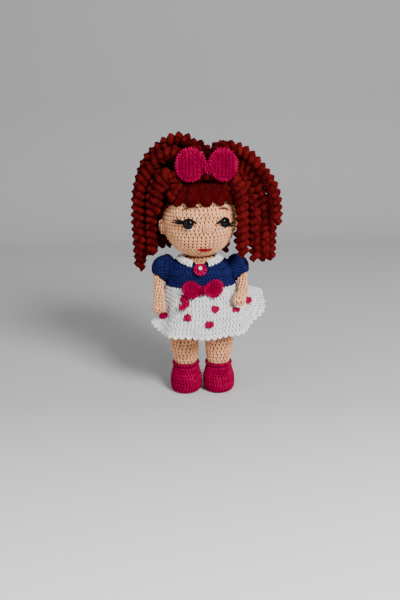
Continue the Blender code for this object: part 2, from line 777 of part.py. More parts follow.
def build_eye(side, name, skull, head, wool):
    """A domed eye on a stem, and the washer that holds it inside the head."""
    place = on_head(side * eye_azimuth, eye_elevation)
    back = head_radius + gap
    end = back - stem_length
    quarter = [math.pi / 2 * i / 5 for i in range(6)]
    dome = [
        (eye_radius * math.cos(q), back + eye_rim + eye_dome * math.sin(q)) for q in quarter[:-1]
    ]
    outline = [(0, end), (stem_radius, end), (stem_radius, back), (eye_radius, back), *dome]
    bm = turned([*outline, (0, back + eye_rim + eye_dome)], sides=small_sides)
    bmesh.ops.transform(bm, verts=bm.verts, matrix=place)
    add(f"{name}_eye", bm, wool["eye"], head)

    tip, deep = place @ Vector((0, 0, back)), place @ Vector((0, 0, end))
    out = (tip - deep).normalized()
    stem_bore = rod(f"{name}_stem_cutter", stem_radius + gap, deep, tip + out * overrun, head)

    top = head_radius - washer_depth
    bottom = top - washer_thickness
    hole = stem_radius + gap
    outline = ((hole, bottom), (washer_radius, bottom), (washer_radius, top), (hole, top))
    bm = turned(outline, sides=small_sides, closed=True)
    bmesh.ops.transform(bm, verts=bm.verts, matrix=place)
    add(f"{name}_eye_washer", bm, wool["plastic"], head)
    combine(skull, stem_bore)
    pocket_top = place @ Vector((0, 0, top + gap))
    pocket_base = place @ Vector((0, 0, end - gap))
    combine(skull, rod(f"{name}_washer_cutter", washer_radius + gap, pocket_base, pocket_top, head))


def build_cap(head, wool):
    """The wig's cap, worked round from a crown behind the top of the head."""
    inner, outer = cap_inner_radius, cap_outer_radius
    polars = [cap_polar * i / 7 for i in range(8)]
    over = [(outer * math.sin(p), outer * math.cos(p)) for p in polars]
    under = [(inner * math.sin(p), inner * math.cos(p)) for p in polars]
    bm = turned([*over, *under[::-1]], sides=round_sides)
    bmesh.ops.rotate(bm, verts=bm.verts, matrix=Matrix.Rotation(-cap_tilt, 3, "X"))
    add("wig_cap", bm, wool["hair"], head)


def fringe_point(azimuth, t, over):
    """A point of the fringe: t runs from the free edge up to where it is sewn to the cap."""
    tongue = 2 * fringe_half_angle / fringe_tongues
    place = (azimuth + fringe_half_angle) / tongue
    off_middle = min(1.0, abs(2 * (place - math.floor(place)) - 1))
    round_share = math.sqrt(max(0.0, 1 - off_middle ** 2))
    drop = (fringe_notch_elevation - fringe_tip_elevation) * round_share
    low = fringe_notch_elevation - drop
    elevation = low + (fringe_top_elevation - low) * t
    radius = cap_outer_radius + gap
    if over:
        thick = fringe_thickness * (fringe_groove_share + (1 - fringe_groove_share) * round_share)
        edge = min(1.0, 0.35 + 3 * t) * min(1.0, 0.35 + 3 * (1 - t))
        across = math.cos(0.5 * math.pi * azimuth / fringe_half_angle)
        radius += thick * edge + fringe_crest * across * math.sin(math.pi * t) ** 2 * t
    return Vector((
        radius * math.sin(azimuth) * math.cos(elevation),
        -radius * math.cos(azimuth) * math.cos(elevation),
        radius * math.sin(elevation),
    ))


def build_fringe(head, wool):
    """Rounded tongues side by side over the forehead, as one sheet."""
    columns = fringe_tongues * 6
    azimuths = [fringe_half_angle * (2 * i / columns - 1) for i in range(columns + 1)]
    rows = [i / 4 for i in range(5)]
    rings = []
    for azimuth in azimuths:
        over = [fringe_point(azimuth, t, True) for t in rows]
        under = [fringe_point(azimuth, t, False) for t in rows[::-1]]
        rings.append(over + under)
    add("fringe", skin(rings), wool["hair"], head)


def build_hair_bow(head, wool):
    """Two puffed round loops and the knot between them, standing where the fringe begins."""
    place = Vector((hair_bow_x, -hair_bow_forward, hair_bow_rise))
    knot_place = place - Vector((0, 0, 0.25 * hair_loop_half_height))
    knot_thickness = 1.5 * hair_loop_thickness
    knot = pillow(hair_knot_half_width, hair_knot_half_height, knot_thickness)
    bmesh.ops.translate(knot, verts=knot.verts, vec=knot_place)
    add("hair_bow_knot", knot, wool["magenta"], head)
    room = pillow(
        hair_knot_half_width + gap, hair_knot_half_height + gap, knot_thickness + 2 * gap
    )
    bmesh.ops.translate(room, verts=room.verts, vec=knot_place)
    cutter = add("hair_bow_knot_cutter", room, None, head)
    step = 0.5 * hair_knot_half_width + gap + 0.93 * hair_loop_half_width
    hair_loop = (hair_loop_half_width, hair_loop_half_height, hair_loop_thickness)
    for side, name in ((1, "left"), (-1, "right")):
        bm = pillow(*hair_loop, hair_bow_scallops, loop_scallop_share, -hair_loop_pinch * side)
        bmesh.ops.translate(bm, verts=bm.verts, vec=place + Vector((side * step, 0, 0)))
        combine(add(f"hair_bow_{name}_loop", bm, wool["magenta"], head), cutter)


def lock_centres(side, shares):
    """A lock's middle line: up from its root on the cap, over an arch, then straight down."""
    out, back, fall, reach, rise, drop, crest_share = shares
    ball = cap_outer_radius + gap
    up = math.sqrt(max(0.0, 1 - out ** 2 - back ** 2))
    root = Vector((side * out, back, up)) * ball
    angle = math.radians(fall)
    hang = Vector((side * math.cos(angle), math.sin(angle), 0)) * bunch_reach * reach
    level = Vector((root.x, root.y, 0))
    across = hang - level
    crest_z = bunch_rise * rise
    crest = level + across * crest_share + Vector((0, 0, crest_z))
    shoulder = hang + Vector((0, 0, bunch_shoulder_share * crest_z))
    tip = hang - Vector((0, 0, bunch_drop * drop))
    arch = left_arch_round_share if side > 0 else right_arch_round_share
    climb = (crest_z - root.z) * right_arch_round_share
    before_crest = crest - across * crest_share * right_arch_round_share
    line = interpolate_bezier(root, root + root.normalized() * climb, before_crest, crest, 12)
    line += interpolate_bezier(
        crest,
        crest + across * (1 - crest_share) * arch,
        shoulder + Vector((0, 0, crest_z - shoulder.z)) * arch,
        shoulder,
        14,
    )[1:]
    if tip.z < shoulder.z:
        line.append(tip)
    return line


class Line:
    """A line that can be read at any distance along it, with a frame that doesn't twist."""

    def __init__(self, points):
        self.points = points
        self.along = [0.0]
        for a, b in zip(points, points[1:]):
            self.along.append(self.along[-1] + (b - a).length)
        self.length = self.along[-1]
        self.normals = []
        normal = Vector((0, 1, 0))
        for i in range(len(points)):
            tangent = self.tangent(i)
            normal = (normal - tangent * normal.dot(tangent)).normalized()
            self.normals.append(normal)

    def tangent(self, i):
        last = len(self.points) - 1
        return (self.points[min(i + 1, last)] - self.points[max(i - 1, 0)]).normalized()

    def at(self, distance):
        distance = min(max(distance, 0.0), self.length)
        i = 0
        while i < len(self.along) - 2 and self.along[i + 1] < distance:
            i += 1
        t = (distance - self.along[i]) / (self.along[i + 1] - self.along[i])
        point = self.points[i].lerp(self.points[i + 1], t)
        tangent = self.tangent(i).lerp(self.tangent(i + 1), t).normalized()
        normal = self.normals[i].lerp(self.normals[i + 1], t)
        normal = (normal - tangent * normal.dot(tangent)).normalized()
        return point, normal, tangent.cross(normal)


def curl(points, side):
    """A corkscrew: one ridge and one groove wound round the line like a screw's thread."""
    line = Line(points)
    start = 0.15 * curl_pitch
    turns = max(2, round((line.length - start) / curl_pitch - 0.75))
    steps = turns * curl_sides
    step = (line.length - start) / (steps + 0.85 * curl_sides)
    bm = bmesh.new()

    def thread(radius, shift):
        verts = []
        for k in range(steps + 1):
            distance = start + (k + shift) * step
            point, normal, across = line.at(distance)
            a = side * 2 * math.pi * k / curl_sides
            grow = min(1.0, 0.22 + 0.78 * distance / curl_taper)
            end = min(1.0, 0.70 + 0.30 * (line.length - distance) / curl_pitch)
            offset = (normal * math.cos(a) + across * math.sin(a)) * radius * grow * end
            verts.append(bm.verts.new(point + offset))
        return verts

    ridge = thread(curl_radius, 0)
    groove = thread(curl_groove_radius, curl_sides / 2)
    for k in range(steps):
        bm.faces.new((ridge[k], ridge[k + 1], groove[k + 1], groove[k]))
    for k in range(steps - curl_sides):
        later = k + curl_sides
        bm.faces.new((groove[k], groove[k + 1], ridge[later + 1], ridge[later]))
    root = bm.verts.new(line.at(0)[0])
    tip = bm.verts.new(line.at(line.length)[0])
    first = [*ridge[: curl_sides + 1], groove[0]]
    last = [*groove[-curl_sides - 1 :], ridge[-1]]
    for loop, end in ((first, root), (last, tip)):
        for i, vert in enumerate(loop):
            bm.faces.new((vert, loop[(i + 1) % len(loop)], end))
    return bm


def build_locks(head, wool):
    for side, name, table in ((1, "left", left_lock_shares), (-1, "right", right_lock_shares)):
        for number, shares in enumerate(table, 1):
            bm = curl(lock_centres(side, shares), side)
            add(f"{name}_lock_{number}", bm, wool["hair"], head)


def main():
    clear_scene()
    wool = {
        "skin": yarn("skin_yarn", (0.73, 0.47, 0.33)),
        "hair": yarn("hair_yarn", (0.10, 0.005, 0.003)),
        "magenta": yarn("magenta_yarn", (0.36, 0.006, 0.045)),
        "navy": yarn("navy_yarn", (0.010, 0.018, 0.10)),
        "white": yarn("white_yarn", (0.75, 0.73, 0.73)),
        "eye": yarn("eye_plastic", (0.004, 0.004, 0.004), 0.12),
        "pearl": yarn("pearl_bead", (0.85, 0.80, 0.78), 0.2),
        "plastic": yarn("washer_plastic", (0.70, 0.70, 0.68), 0.5),
        "board": yarn("insole_board", (0.55, 0.50, 0.42), 0.8),
        "wood": yarn("dowel_wood", (0.52, 0.36, 0.20), 0.6),
        "cord": yarn("joint_cord", (0.60, 0.56, 0.50)),
    }
    body = axis("figure_axis", (figure_x, figure_y, 0))
    head = axis("neck_turn_axis", (0, 0, head_z), body, head_turn)
    torso, seat = build_torso(body, head, wool)
    yoke = build_yoke(body, seat, wool)
    build_arm_cord(body, torso, yoke, wool)
    for side, name, lifts in ((1, "left", left_arm_lifts), (-1, "right", right_arm_lifts)):
        build_leg(side, name, body, wool)
        shoulder = axis(f"{name}_shoulder_axis", (side * arm_x, 0, shoulder_z), body)
        build_arm(side, name, lifts, shoulder, body, wool)
    build_skirt(body, wool)
    build_collar(body, seat, wool)
    build_flower(body, wool)
    build_waist_bow(body, wool)
    build_head(head, wool)
    build_cap(head, wool)
    build_fringe(head, wool)
    build_hair_bow(head, wool)
    build_locks(head, wool)


main()
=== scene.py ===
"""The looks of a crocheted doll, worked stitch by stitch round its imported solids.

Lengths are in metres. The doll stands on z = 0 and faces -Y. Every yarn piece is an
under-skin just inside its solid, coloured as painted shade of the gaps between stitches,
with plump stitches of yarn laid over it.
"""

import json
import math
from collections import namedtuple

import bmesh
import bpy
import numpy as np
from bpy.props import FloatProperty, FloatVectorProperty, IntProperty, PointerProperty
from mathutils import Matrix, Vector
from mathutils.bvhtree import BVHTree
from mathutils.geometry import interpolate_bezier


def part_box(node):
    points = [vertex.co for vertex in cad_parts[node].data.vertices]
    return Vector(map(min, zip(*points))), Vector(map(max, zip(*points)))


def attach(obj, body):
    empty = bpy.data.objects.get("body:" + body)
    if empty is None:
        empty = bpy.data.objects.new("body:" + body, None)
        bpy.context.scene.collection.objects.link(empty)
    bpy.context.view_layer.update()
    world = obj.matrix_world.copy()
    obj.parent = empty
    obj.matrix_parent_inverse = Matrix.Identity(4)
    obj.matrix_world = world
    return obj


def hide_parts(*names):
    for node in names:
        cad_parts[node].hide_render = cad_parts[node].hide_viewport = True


bl_info = {
    "name": "Crocheted Doll",
    "version": (1, 0, 0),
    "blender": (4, 5, 0),
    "location": "3D View > Sidebar > Doll",
    "description": "Works a crocheted doll's stitches, hair, dress and face over its solids",
    "category": "Object",
}

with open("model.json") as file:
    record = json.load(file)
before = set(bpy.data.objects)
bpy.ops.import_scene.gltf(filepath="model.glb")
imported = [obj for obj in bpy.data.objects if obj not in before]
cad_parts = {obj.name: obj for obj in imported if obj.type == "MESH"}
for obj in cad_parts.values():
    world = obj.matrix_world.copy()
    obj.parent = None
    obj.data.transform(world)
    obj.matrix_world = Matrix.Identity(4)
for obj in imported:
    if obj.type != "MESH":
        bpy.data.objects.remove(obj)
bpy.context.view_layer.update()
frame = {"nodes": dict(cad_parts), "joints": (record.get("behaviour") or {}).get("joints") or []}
nodes = frame["nodes"]
joints = {joint["name"]: joint for joint in frame["joints"]}
sides = (("left", 1), ("right", -1))

# Places read from the frame
head_centre = Vector(joints["neck_turn"]["pos_m"])
figure = Vector((head_centre.x, head_centre.y, 0))
shoulders = {side: Vector(joints[f"{side}_shoulder"]["pos_m"]) for side, _ in sides}
head_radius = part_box("head")[1].z - head_centre.z
yoke_hem_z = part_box("dress_yoke")[0].z
boot_top_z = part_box("left_boot")[1].z

# The photograph's camera, for an image of 400 by 600
photo_width = 400
photo_height = 600
photo_distance = 0.650
photo_pitch = math.radians(15)
photo_roll = math.radians(-1.2)
photo_scale = 0.000873
photo_aim = Vector((-0.0070, 0, 0.079))
sensor_width = 36.0

# How far under the solid's outside the stitches' middles and the under-skin lie, as
# shares of the stitches' relief
stitch_inset_share = 0.36
skin_inset_share = 0.42
ray_reach = 0.2
limb_ray_reach = 0.03
tiny = 0.0001
margin = 0.001
ring_steps = 72
thread_sides = 8

# Body and arms. An arm's angles, in degrees: the upper arm's and the forearm's lift from
# hanging straight, and how far the forearm turns in.
torso_under_dress = 0.010
torso_into_collar = 0.006
leg_into_boot = 0.006
leg_foot_x = 0.0144
leg_top_x = 0.0165
upper_arm_length = 0.0200
forearm_length = 0.0200
arm_top_height = 0.0030
arm_cell_share = 0.92
arm_relief_share = 0.9
arm_angles = {"right": (28, 34, 0), "left": (31, 70, 12)}
arm_flat_x = 0.0020
arm_flat_reach = 0.024
arm_flat_depth = 0.0006
arm_flat_share = 0.72
hand_stitch_gap = 0.0036
hand_stitch_size = (0.0038, 0.0048)
hand_stitch_inset = 0.0013

# Boots
boot_middle_z = 0.0100
boot_low = math.radians(-84)
boot_high = math.radians(47)
boot_sole_gap = 0.0004
boot_rim_height = 0.0035
rim_round_height = 0.0024
rim_points = 18
rim_point_width = 0.0040
rim_point_height = 0.0018
rim_corner_height = 0.0016

# Dress
sleeve_radius = 0.0116
sleeve_x = 0.0303
sleeve_arm_gap = 0.0060
armhole_x = 0.0295
armhole_radius = 0.0105
armhole_band = (0.0225, 0.0298)
armhole_low = 0.004
top_hem_stitches = 56
neckline_half_width = 0.0138
neckline_forward = 0.0024
collar_width = 0.0056
collar_opening = math.radians(28)
collar_turn = math.radians(304)
skirt_hem_z = 0.0590
skirt_half_depth = 0.0420
skirt_half_width = 0.0450
skirt_left_reach = 0.0600
skirt_left_lift = 0.0250
skirt_right_lift = 0.0080
skirt_lift_turn = math.radians(32)
skirt_fold_depth = 0.0022
skirt_folds = 9
skirt_dents = (
    (math.radians(-27), math.radians(21), 0.90, 0.0800),
    (math.radians(-155), math.radians(22), 0.62, 0.0710),
)
skirt_spring_height = 0.0100
skirt_top_x = 0.0272 + 0.0003 + 0.0022
skirt_top_y = 0.0272 * 0.80 + 0.0003 + 0.0022
skirt_thickness = 0.0021
skirt_columns = 144
hem_scallop = 0.0056
hem_loop_height = 0.0042

# The head and its parts, in the head's own frame
head_turn = math.radians(12)
head_frame = Matrix.Translation(head_centre) @ Matrix.Rotation(head_turn, 4, "Z")
eye_azimuth = math.radians(28.8)
eye_elevation = math.radians(2.5)
eye_radius = 0.0044
eye_dome = 0.0027
eye_rim = 0.0006
eye_stem_radius = 0.0015
eye_stem_length = 0.0090
nose_elevation = math.radians(-4.5)
ear_elevation = math.radians(-7)
cap_tilt = math.radians(38)
cap_polar = math.radians(80)
cap_cell = (0.0036, 0.0036)
cap_outer_radius = (head_radius + 0.0003) / math.cos(math.pi / 24) + 0.0018
hairline = math.radians(70)
fringe_half_angle = math.radians(62)
fringe_tongues = 5
fringe_columns = 6 * fringe_tongues
fringe_rows = 9
fringe_tip_elevation = math.radians(27.5)
fringe_notch_elevation = math.radians(40)
fringe_top_elevation = math.radians(66)

# Hair
bunch_reach = 0.0650
bunch_rise = 0.0682
bunch_drop = 0.0405
bunch_shoulder_share = 0.22
left_arch_round_share = 0.40
right_arch_round_share = 0.55
core_steps = 10

# Each lock: where its root is on the cap, out to the side and back, as shares of the
# cap's radius; the angle in degrees from the side to the back at which it falls; then its
# reach, rise and drop as shares of the bunch's, and how far along its arch the crest is.
right_lock_shares = (
    (0.72, -0.25, -9, 0.657, 0.60, 0.63, 0.35),
    (-0.06, -0.12, 5, 0.790, 1.00, 1.00, 0.30),
    (0.85, 0.15, 17, 0.642, 0.54, 0.60, 0.40),
    (0.21, 0.15, 22, 0.797, 0.92, 0.93, 0.24),
    (0.55, 0.15, 35, 0.740, 0.66, 0.79, 0.35),
    (0.71, 0.53, 45, 0.612, 0.47, 0.65, 0.40),
    (0.38, 0.43, 50, 0.780, 0.73, 0.74, 0.35),
    (0.46, 0.74, 64, 0.646, 0.49, 0.70, 0.40),
    (0.24, 0.83, 82, 0.649, 0.47, 0.70, 0.40),
    (0.13, 0.49, 66, 0.822, 0.86, 0.65, 0.30),
    (0.21, -0.25, -7, 0.822, 0.85, 0.63, 0.28),
    (-0.04, 0.86, 98, 0.647, 0.45, 0.70, 0.40),
)
left_lock_shares = (
    (0.75, -0.32, -43, 0.642, 0.50, 0.67, 0.48),
    (0.87, 0.01, -26, 0.725, 0.45, 0.84, 0.42),
    (0.48, -0.24, -15, 0.835, 0.73, 0.86, 0.32),
    (0.24, 0.05, -3, 0.955, 0.89, 0.91, 0.28),
    (0.24, -0.25, -22, 1.000, 0.90, 0.07, 0.28),
    (0.81, 0.31, 1, 0.685, 0.45, 0.60, 0.42),
    (0.55, 0.15, 9, 0.818, 0.73, 0.74, 0.33),
    (0.69, 0.53, 24, 0.669, 0.47, 0.67, 0.45),
    (0.24, 0.38, 16, 0.949, 0.88, 0.65, 0.30),
    (0.45, 0.43, 30, 0.845, 0.68, 0.74, 0.35),
    (0.49, 0.71, 46, 0.648, 0.45, 0.70, 0.45),
    (0.29, 0.82, 65, 0.666, 0.48, 0.70, 0.40),
)

# Shorter curls that fill the bunches: which way each is wound, its thickness as a share of
# a lock's, and the points it runs through, in thousandths of a metre in the head's frame
filler_curls = (
    (1, 0.95, ((18, -12, 28), (27, -14, 40), (36, -11, 34), (39, -9, 8))),
    (-1, 0.95, ((-18, -12, 28), (-26, -15, 41), (-34, -13, 36), (-38, -10, 10))),
    (1, 0.95, ((10, 4, 34), (16, 0, 50), (28, -2, 55), (40, 2, 44))),
    (-1, 0.95, ((-10, 4, 34), (-14, -1, 52), (-26, -4, 56), (-38, 0, 46))),
    (1, 0.95, ((22, 8, 26), (34, 6, 40), (46, 6, 34), (50, 6, 4))),
    (-1, 0.95, ((-22, 8, 26), (-33, 4, 40), (-44, 2, 36), (-48, 4, 6))),
    (1, 0.95, ((10, 18, 28), (18, 26, 40), (28, 34, 32), (32, 36, 0))),
    (-1, 0.95, ((-10, 18, 28), (-18, 26, 40), (-28, 34, 32), (-32, 36, 0))),
    (1, 0.95, ((4, 24, 24), (8, 34, 28), (10, 38, 16), (10, 38, -14))),
    (-1, 0.95, ((-4, 24, 24), (-8, 34, 28), (-10, 38, 16), (-10, 38, -14))),
    (1, 0.95, ((0, 12, 33), (1, 22, 38), (0, 34, 28), (0, 40, 6))),
    (1, 0.95, (
        (19, -14, 27), (27, -19, 26), (30.4, -22.5, 10), (30.6, -23.5, -10), (30, -23.5, -27.5)
    )),
    (-1, 0.95, (
        (-22, 12, 26), (-34, 14, 40), (-44, 15, 34), (-45.7, 15.8, 10), (-45.7, 15.8, -32)
    )),
    (1, 0.85, ((10, 26, 20), (20, 33, 10), (26.5, 26, -10), (26.5, 16, -32))),
    (-1, 0.90, ((8, 6, 34), (12, 6, 50), (6, 8, 60), (-6, 8, 64))),
    (-1, 0.90, ((-2, 6, 36), (2, 7, 48), (-4, 8, 56), (-14, 8, 59))),
    (-1, 0.85, ((-13, -9, 31), (-20, -15, 31), (-25, -17, 27), (-27, -15, 19))),
    (1, 0.80, ((-6, -12, 34), (3, -14, 38), (12, -13, 37), (18, -10, 31))),
)

# Pixels of the photograph at which the spots and the waist bow's fold lie, and each spot's
# stitches as steps from its pixel
spot_pixels = (
    (187.7, 318),
    (214.5, 309.4),
    (209, 325),
    (235.6, 310.4),
    (247.3, 300.2),
    (163.7, 316),
    (152.4, 297),
)
spot_steps = ((-2.4, 0.2), (-0.8, -0.3), (0.8, 0.3), (2.4, -0.2))
fold_pixels = ((191.0, 294.5), (188.5, 296.0), (186.0, 297.5), (184.0, 299.0), (182.5, 301.5))

# The face's threads: each path's pixels, and its radii in tenths of a millimetre
lid_paths = (
    ((
        (196.8, 223.7), (193.6, 221.9), (189.8, 220.3), (186.2, 220.6),
        (183.0, 222.4), (179.6, 223.5), (175.4, 223.0), (171.0, 221.9),
    ), (4, 10, 14, 14, 13, 10, 6, 2)),
    ((
        (215.6, 224.1), (218.6, 222.6), (221.8, 221.2),
        (225.2, 221.3), (228.2, 223.0), (230.4, 224.8),
    ), (3, 10, 14, 14, 13, 7)),
)
lash_paths = (
    (((182.2, 222.6), (177.0, 221.2), (172.9, 219.5)), (9, 6, 2)),
    (((182.4, 221.8), (178.4, 219.8), (176.2, 216.8)), (9, 6, 2)),
    (((228.6, 223.8), (231.6, 223.6), (234.4, 222.4)), (9, 6, 2)),
    (((229.2, 225.2), (232.0, 225.6), (234.6, 225.0)), (9, 6, 2)),
)
brow_paths = (
    (((182.6, 209.6), (187.6, 207.8), (193.0, 207.0), (199.2, 207.6)), (4, 8, 4)),
    (((219.6, 208.4), (224.2, 208.0), (228.8, 209.6)), (4, 8, 4)),
)
mouth_paths = (
    ((
        (196.8, 249.2), (199.4, 249.9), (201.6, 248.9), (203.6, 250.0),
        (205.6, 248.9), (207.4, 250.0), (209.2, 248.9), (212.0, 249.4),
    ), (3, 6, 6, 6, 3)),
    (((197.4, 249.8), (204.4, 251.2), (211.6, 249.8)), (4, 9, 4)),
)
white_paths = (
    ((
        (184.0, 228.2), (185.8, 229.4), (188.4, 229.9), (191.2, 229.3), (193.0, 227.8)
    ), (2, 3, 4, 3, 2)),
    ((
        (219.8, 226.2), (221.5, 227.3), (224.0, 227.7), (226.4, 227.2), (228.0, 226.0)
    ), (1, 2, 3, 2, 1)),
)
# Each piece of embroidery: its thread, slot, how far it stands off the face, and its paths
embroidery = {
    "eye_lids": ("black", "hair_yarn", 0.0016, lid_paths),
    "eye_lashes": ("black", "hair_yarn", 0.0012, lash_paths),
    "brows": ("brown", "hair_yarn", 0.0014, brow_paths),
    "mouth": ("red", "magenta_yarn", 0.0006, mouth_paths),
    "eye_whites": ("white", "white_yarn", 0.0010, white_paths),
}

Stitch = namedtuple("Stitch", "place across out stretch")


def colour(name, description, *default):
    return FloatVectorProperty(
        name=name, description=description, subtype="COLOR", size=3, default=default
    )


def length(name, description, default):
    return FloatProperty(name=name, description=description, unit="LENGTH", default=default)


def amount(name, description, default):
    return FloatProperty(name=name, description=description, default=default)


class DollYarns(bpy.types.PropertyGroup):
    skin: colour("Skin", "Yarn of the body", 0.86, 0.38, 0.185)
    hair: colour("Hair", "Yarn of the hair", 0.044, 0.0006, 0.0014)
    magenta: colour("Magenta", "Yarn of the bows and boots", 0.27, 0.0004, 0.036)
    navy: colour("Navy", "Yarn of the dress's top", 0.0095, 0.0115, 0.068)
    white: colour("White", "Yarn of the skirt and collar", 0.86, 0.84, 0.84)
    black: colour("Black", "Thread of the lids and lashes", 0.008, 0.007, 0.008)
    brown: colour("Brown", "Thread of the brows", 0.11, 0.020, 0.012)
    red: colour("Red", "Thread of the mouth", 0.24, 0.003, 0.006)


class DollStitches(bpy.types.PropertyGroup):
    body_width: length("Body Width", "Width of a body stitch", 0.0036)
    body_height: length("Body Height", "Height of a body round", 0.0033)
    body_relief: length("Body Relief", "How far the body's yarn stands up", 0.0036)
    fine_width: length("Fine Width", "Width of a boot or yoke stitch", 0.0029)
    fine_height: length("Fine Height", "Height of a boot or yoke round", 0.0027)
    fine_relief: length("Fine Relief", "How far finer yarn stands up", 0.0030)
    skirt_width: length("Skirt Width", "Width of a skirt stitch", 0.0032)
    skirt_height: length("Skirt Height", "Height of a skirt round", 0.0037)
    slant: amount("Slant", "How far each round drifts, in stitches", 0.22)
    seed: IntProperty(name="Seed", description="Seed of the hand's unevenness", default=7)


class DollHair(bpy.types.PropertyGroup):
    ridge_radius: length("Ridge Radius", "Radius of a lock's core", 0.0043)
    groove_radius: length("Groove Radius", "Radius between a lock's ridges", 0.0028)
    pitch: length("Pitch", "Length of one turn of a lock", 0.0060)
    stitch_width: length("Stitch Width", "Width of a stitch along the ridge", 0.0027)
    taper: length("Taper", "Length over which a lock grows at its root", 0.0120)


class DollStage(bpy.types.PropertyGroup):
    floor: colour("Floor", "Colour of the floor", 0.56, 0.56, 0.57)
    key_power: amount("Key", "Power of the large soft light, in watts", 24.0)
    fill_power: amount("Fill", "Power of the fill light, in watts", 4.2)
    air: amount("Air", "Strength of the light all round", 0.34)


class Field:
    """A number or colour in a node tree, with the usual operators."""

    def __init__(self, graph, socket):
        self.graph = graph
        self.socket = socket

    def work(self, operation, *values):
        made = self.graph.node(
            "ShaderNodeMath", {"operation": operation}, dict(enumerate(values))
        )
        return Field(self.graph, made.outputs[0])

    def __add__(self, other):
        return self.work("ADD", self, other)

    def __mul__(self, other):
        return self.work("MULTIPLY", self, other)

    def __sub__(self, other):
        return self.work("SUBTRACT", self, other)

    def __rsub__(self, other):
        return self.work("SUBTRACT", other, self)

    def __abs__(self):
        return self.work("ABSOLUTE", self)

    __radd__ = __add__
    __rmul__ = __mul__

    def sine(self):
        return self.work("SINE", self)

    def held(self):
        """The value held between 0 and 1."""
        return self.work("MINIMUM", self.work("MAXIMUM", self, 0.0), 1.0)


class Graph:
    """Adds nodes to one tree, of a material or of Geometry Nodes."""

    def __init__(self, tree):
        self.tree = tree

    def node(self, kind, settings=None, values=None):
        made = self.tree.nodes.new(kind)
        for name, value in (settings or {}).items():
            setattr(made, name, value)
        for key, value in (values or {}).items():
            self.feed(made.inputs[key], value)
        return made

    def feed(self, socket, value):
        """Links a field, a socket or a node's first output to a socket, or sets a value."""
        if isinstance(value, bpy.types.Node):
            value = value.outputs[0]
        if isinstance(value, Field):
            value = value.socket
        if isinstance(value, bpy.types.NodeSocket):
            self.tree.links.new(value, socket)
        else:
            socket.default_value = value

    def field(self, kind, settings=None, values=None, output=0):
        return Field(self, self.node(kind, settings, values).outputs[output])


def blank_material(name, constants=None):
    """A new material, with its graph, its shader and its Object coordinates."""
    material = bpy.data.materials.new(name)
    material.use_nodes = True
    graph = Graph(material.node_tree)
    shader = material.node_tree.nodes["Principled BSDF"]
    for key, value in (constants or {}).items():
        shader.inputs[key].default_value = value
    return material, graph, shader, graph.field("ShaderNodeTexCoord", output="Object")


def mixed(graph, share, low, high):
    """A colour part of the way from low to high."""
    low, high = (value if isinstance(value, Field) else (*value, 1.0) for value in (low, high))
    made = graph.node("ShaderNodeMix", {"data_type": "RGBA"}, {0: share, 6: low, 7: high})
    return Field(graph, made.outputs[2])


def shaded(colour, gain):
    return [gain * c for c in colour]


def noise(graph, place, size, detail=2.0):
    """Soft noise whose blotches are about that size in metres."""
    return graph.field(
        "ShaderNodeTexNoise", values={"Vector": place, "Scale": 1 / size, "Detail": detail}
    )


def finish(graph, shader, colour, roughness, height=None, strength=0.0, distance=0.0):
    """Feeds a shader its colour and roughness, and its fine relief where it has one."""
    graph.feed(shader.inputs["Base Color"], colour)
    graph.feed(shader.inputs["Roughness"], roughness)
    if height is not None:
        values = {"Height": height, "Strength": strength, "Distance": distance}
        made = graph.node("ShaderNodeBump", values=values)
        graph.feed(shader.inputs["Normal"], made.outputs[0])


def yarn_material(name, colour, light=(1.35, 1.35, 1.35), dull=False):
    """Spun yarn: twisted plies, loose fibres and a slightly different tone in each stitch."""
    material, graph, shader, place = blank_material(name, {
        "Sheen Weight": 0.0 if dull else 0.04,
        "Sheen Roughness": 0.5,
        "Specular IOR Level": 0.02 if dull else 0.10,
    })
    tint, round_it, along_it = (
        graph.field("ShaderNodeAttribute", {"attribute_name": attribute}, output="Fac")
        for attribute in ("tint", "yarn_round", "yarn_along")
    )
    ply = (round_it * (4 * math.pi) + along_it * 16.0).sine() * 0.5 + 0.5
    fibre = noise(graph, place, 0.0004, 3.0)
    blotch = noise(graph, place, 0.011, 1.0)
    share = (tint * 0.40 + ply * 0.16 + fibre * 0.34 + blotch * 0.40 - 0.18).held()
    low = [min(1.0, 0.55 * c) for c in colour]
    # Where the gains differ by channel, as the hair's do, the lightest fibres are a painted
    # highlight.
    high = [min(1.0, gain * c) for gain, c in zip(light, colour)]
    roughness = 0.85 + (fibre - 0.5) * 0.16
    height = ply * 0.6 + fibre * 0.5
    finish(graph, shader, mixed(graph, share, low, high), roughness, height, 0.55, 0.00016)
    return material


def gap_shade_material(name, colour, share=0.45):
    """What shows between stitches: the same yarn darkened, a painted shade of the gaps."""
    material, graph, shader, place = blank_material(name, {"Specular IOR Level": 0.02})
    fibre = noise(graph, place, 0.0007, 3.0)
    tone = mixed(graph, fibre, shaded(colour, 0.6 * share), shaded(colour, 1.3 * share))
    finish(graph, shader, tone, 0.86 + fibre * 0.12, fibre, 0.6, 0.00025)
    return material


def gloss_material(name, colour, roughness, coat=0.0, speckle=0.0, shine=0.5):
    """Moulded or polished plastic with a faint unevenness."""
    constants = {"Specular IOR Level": shine, "Coat Weight": coat}
    material, graph, shader, place = blank_material(name, constants)
    cloud = noise(graph, place, 0.0016, 3.0)
    tone = mixed(graph, cloud, shaded(colour, 1 - speckle), colour)
    finish(graph, shader, tone, roughness + cloud * 0.06, cloud, 0.1, 0.00005)
    return material


def wood_material(name):
    """Plain turned wood with its grain along the upright dowel."""
    material, graph, shader, place = blank_material(name)
    drawn_out = graph.field("ShaderNodeMapping", values={"Vector": place, "Scale": (1, 1, 0.08)})
    grain = noise(graph, drawn_out, 0.0006, 4.0)
    tone = mixed(graph, grain, (0.36, 0.21, 0.10), (0.66, 0.47, 0.27))
    finish(graph, shader, tone, 0.55 + grain * 0.2, grain, 0.3, 0.0001)
    return material


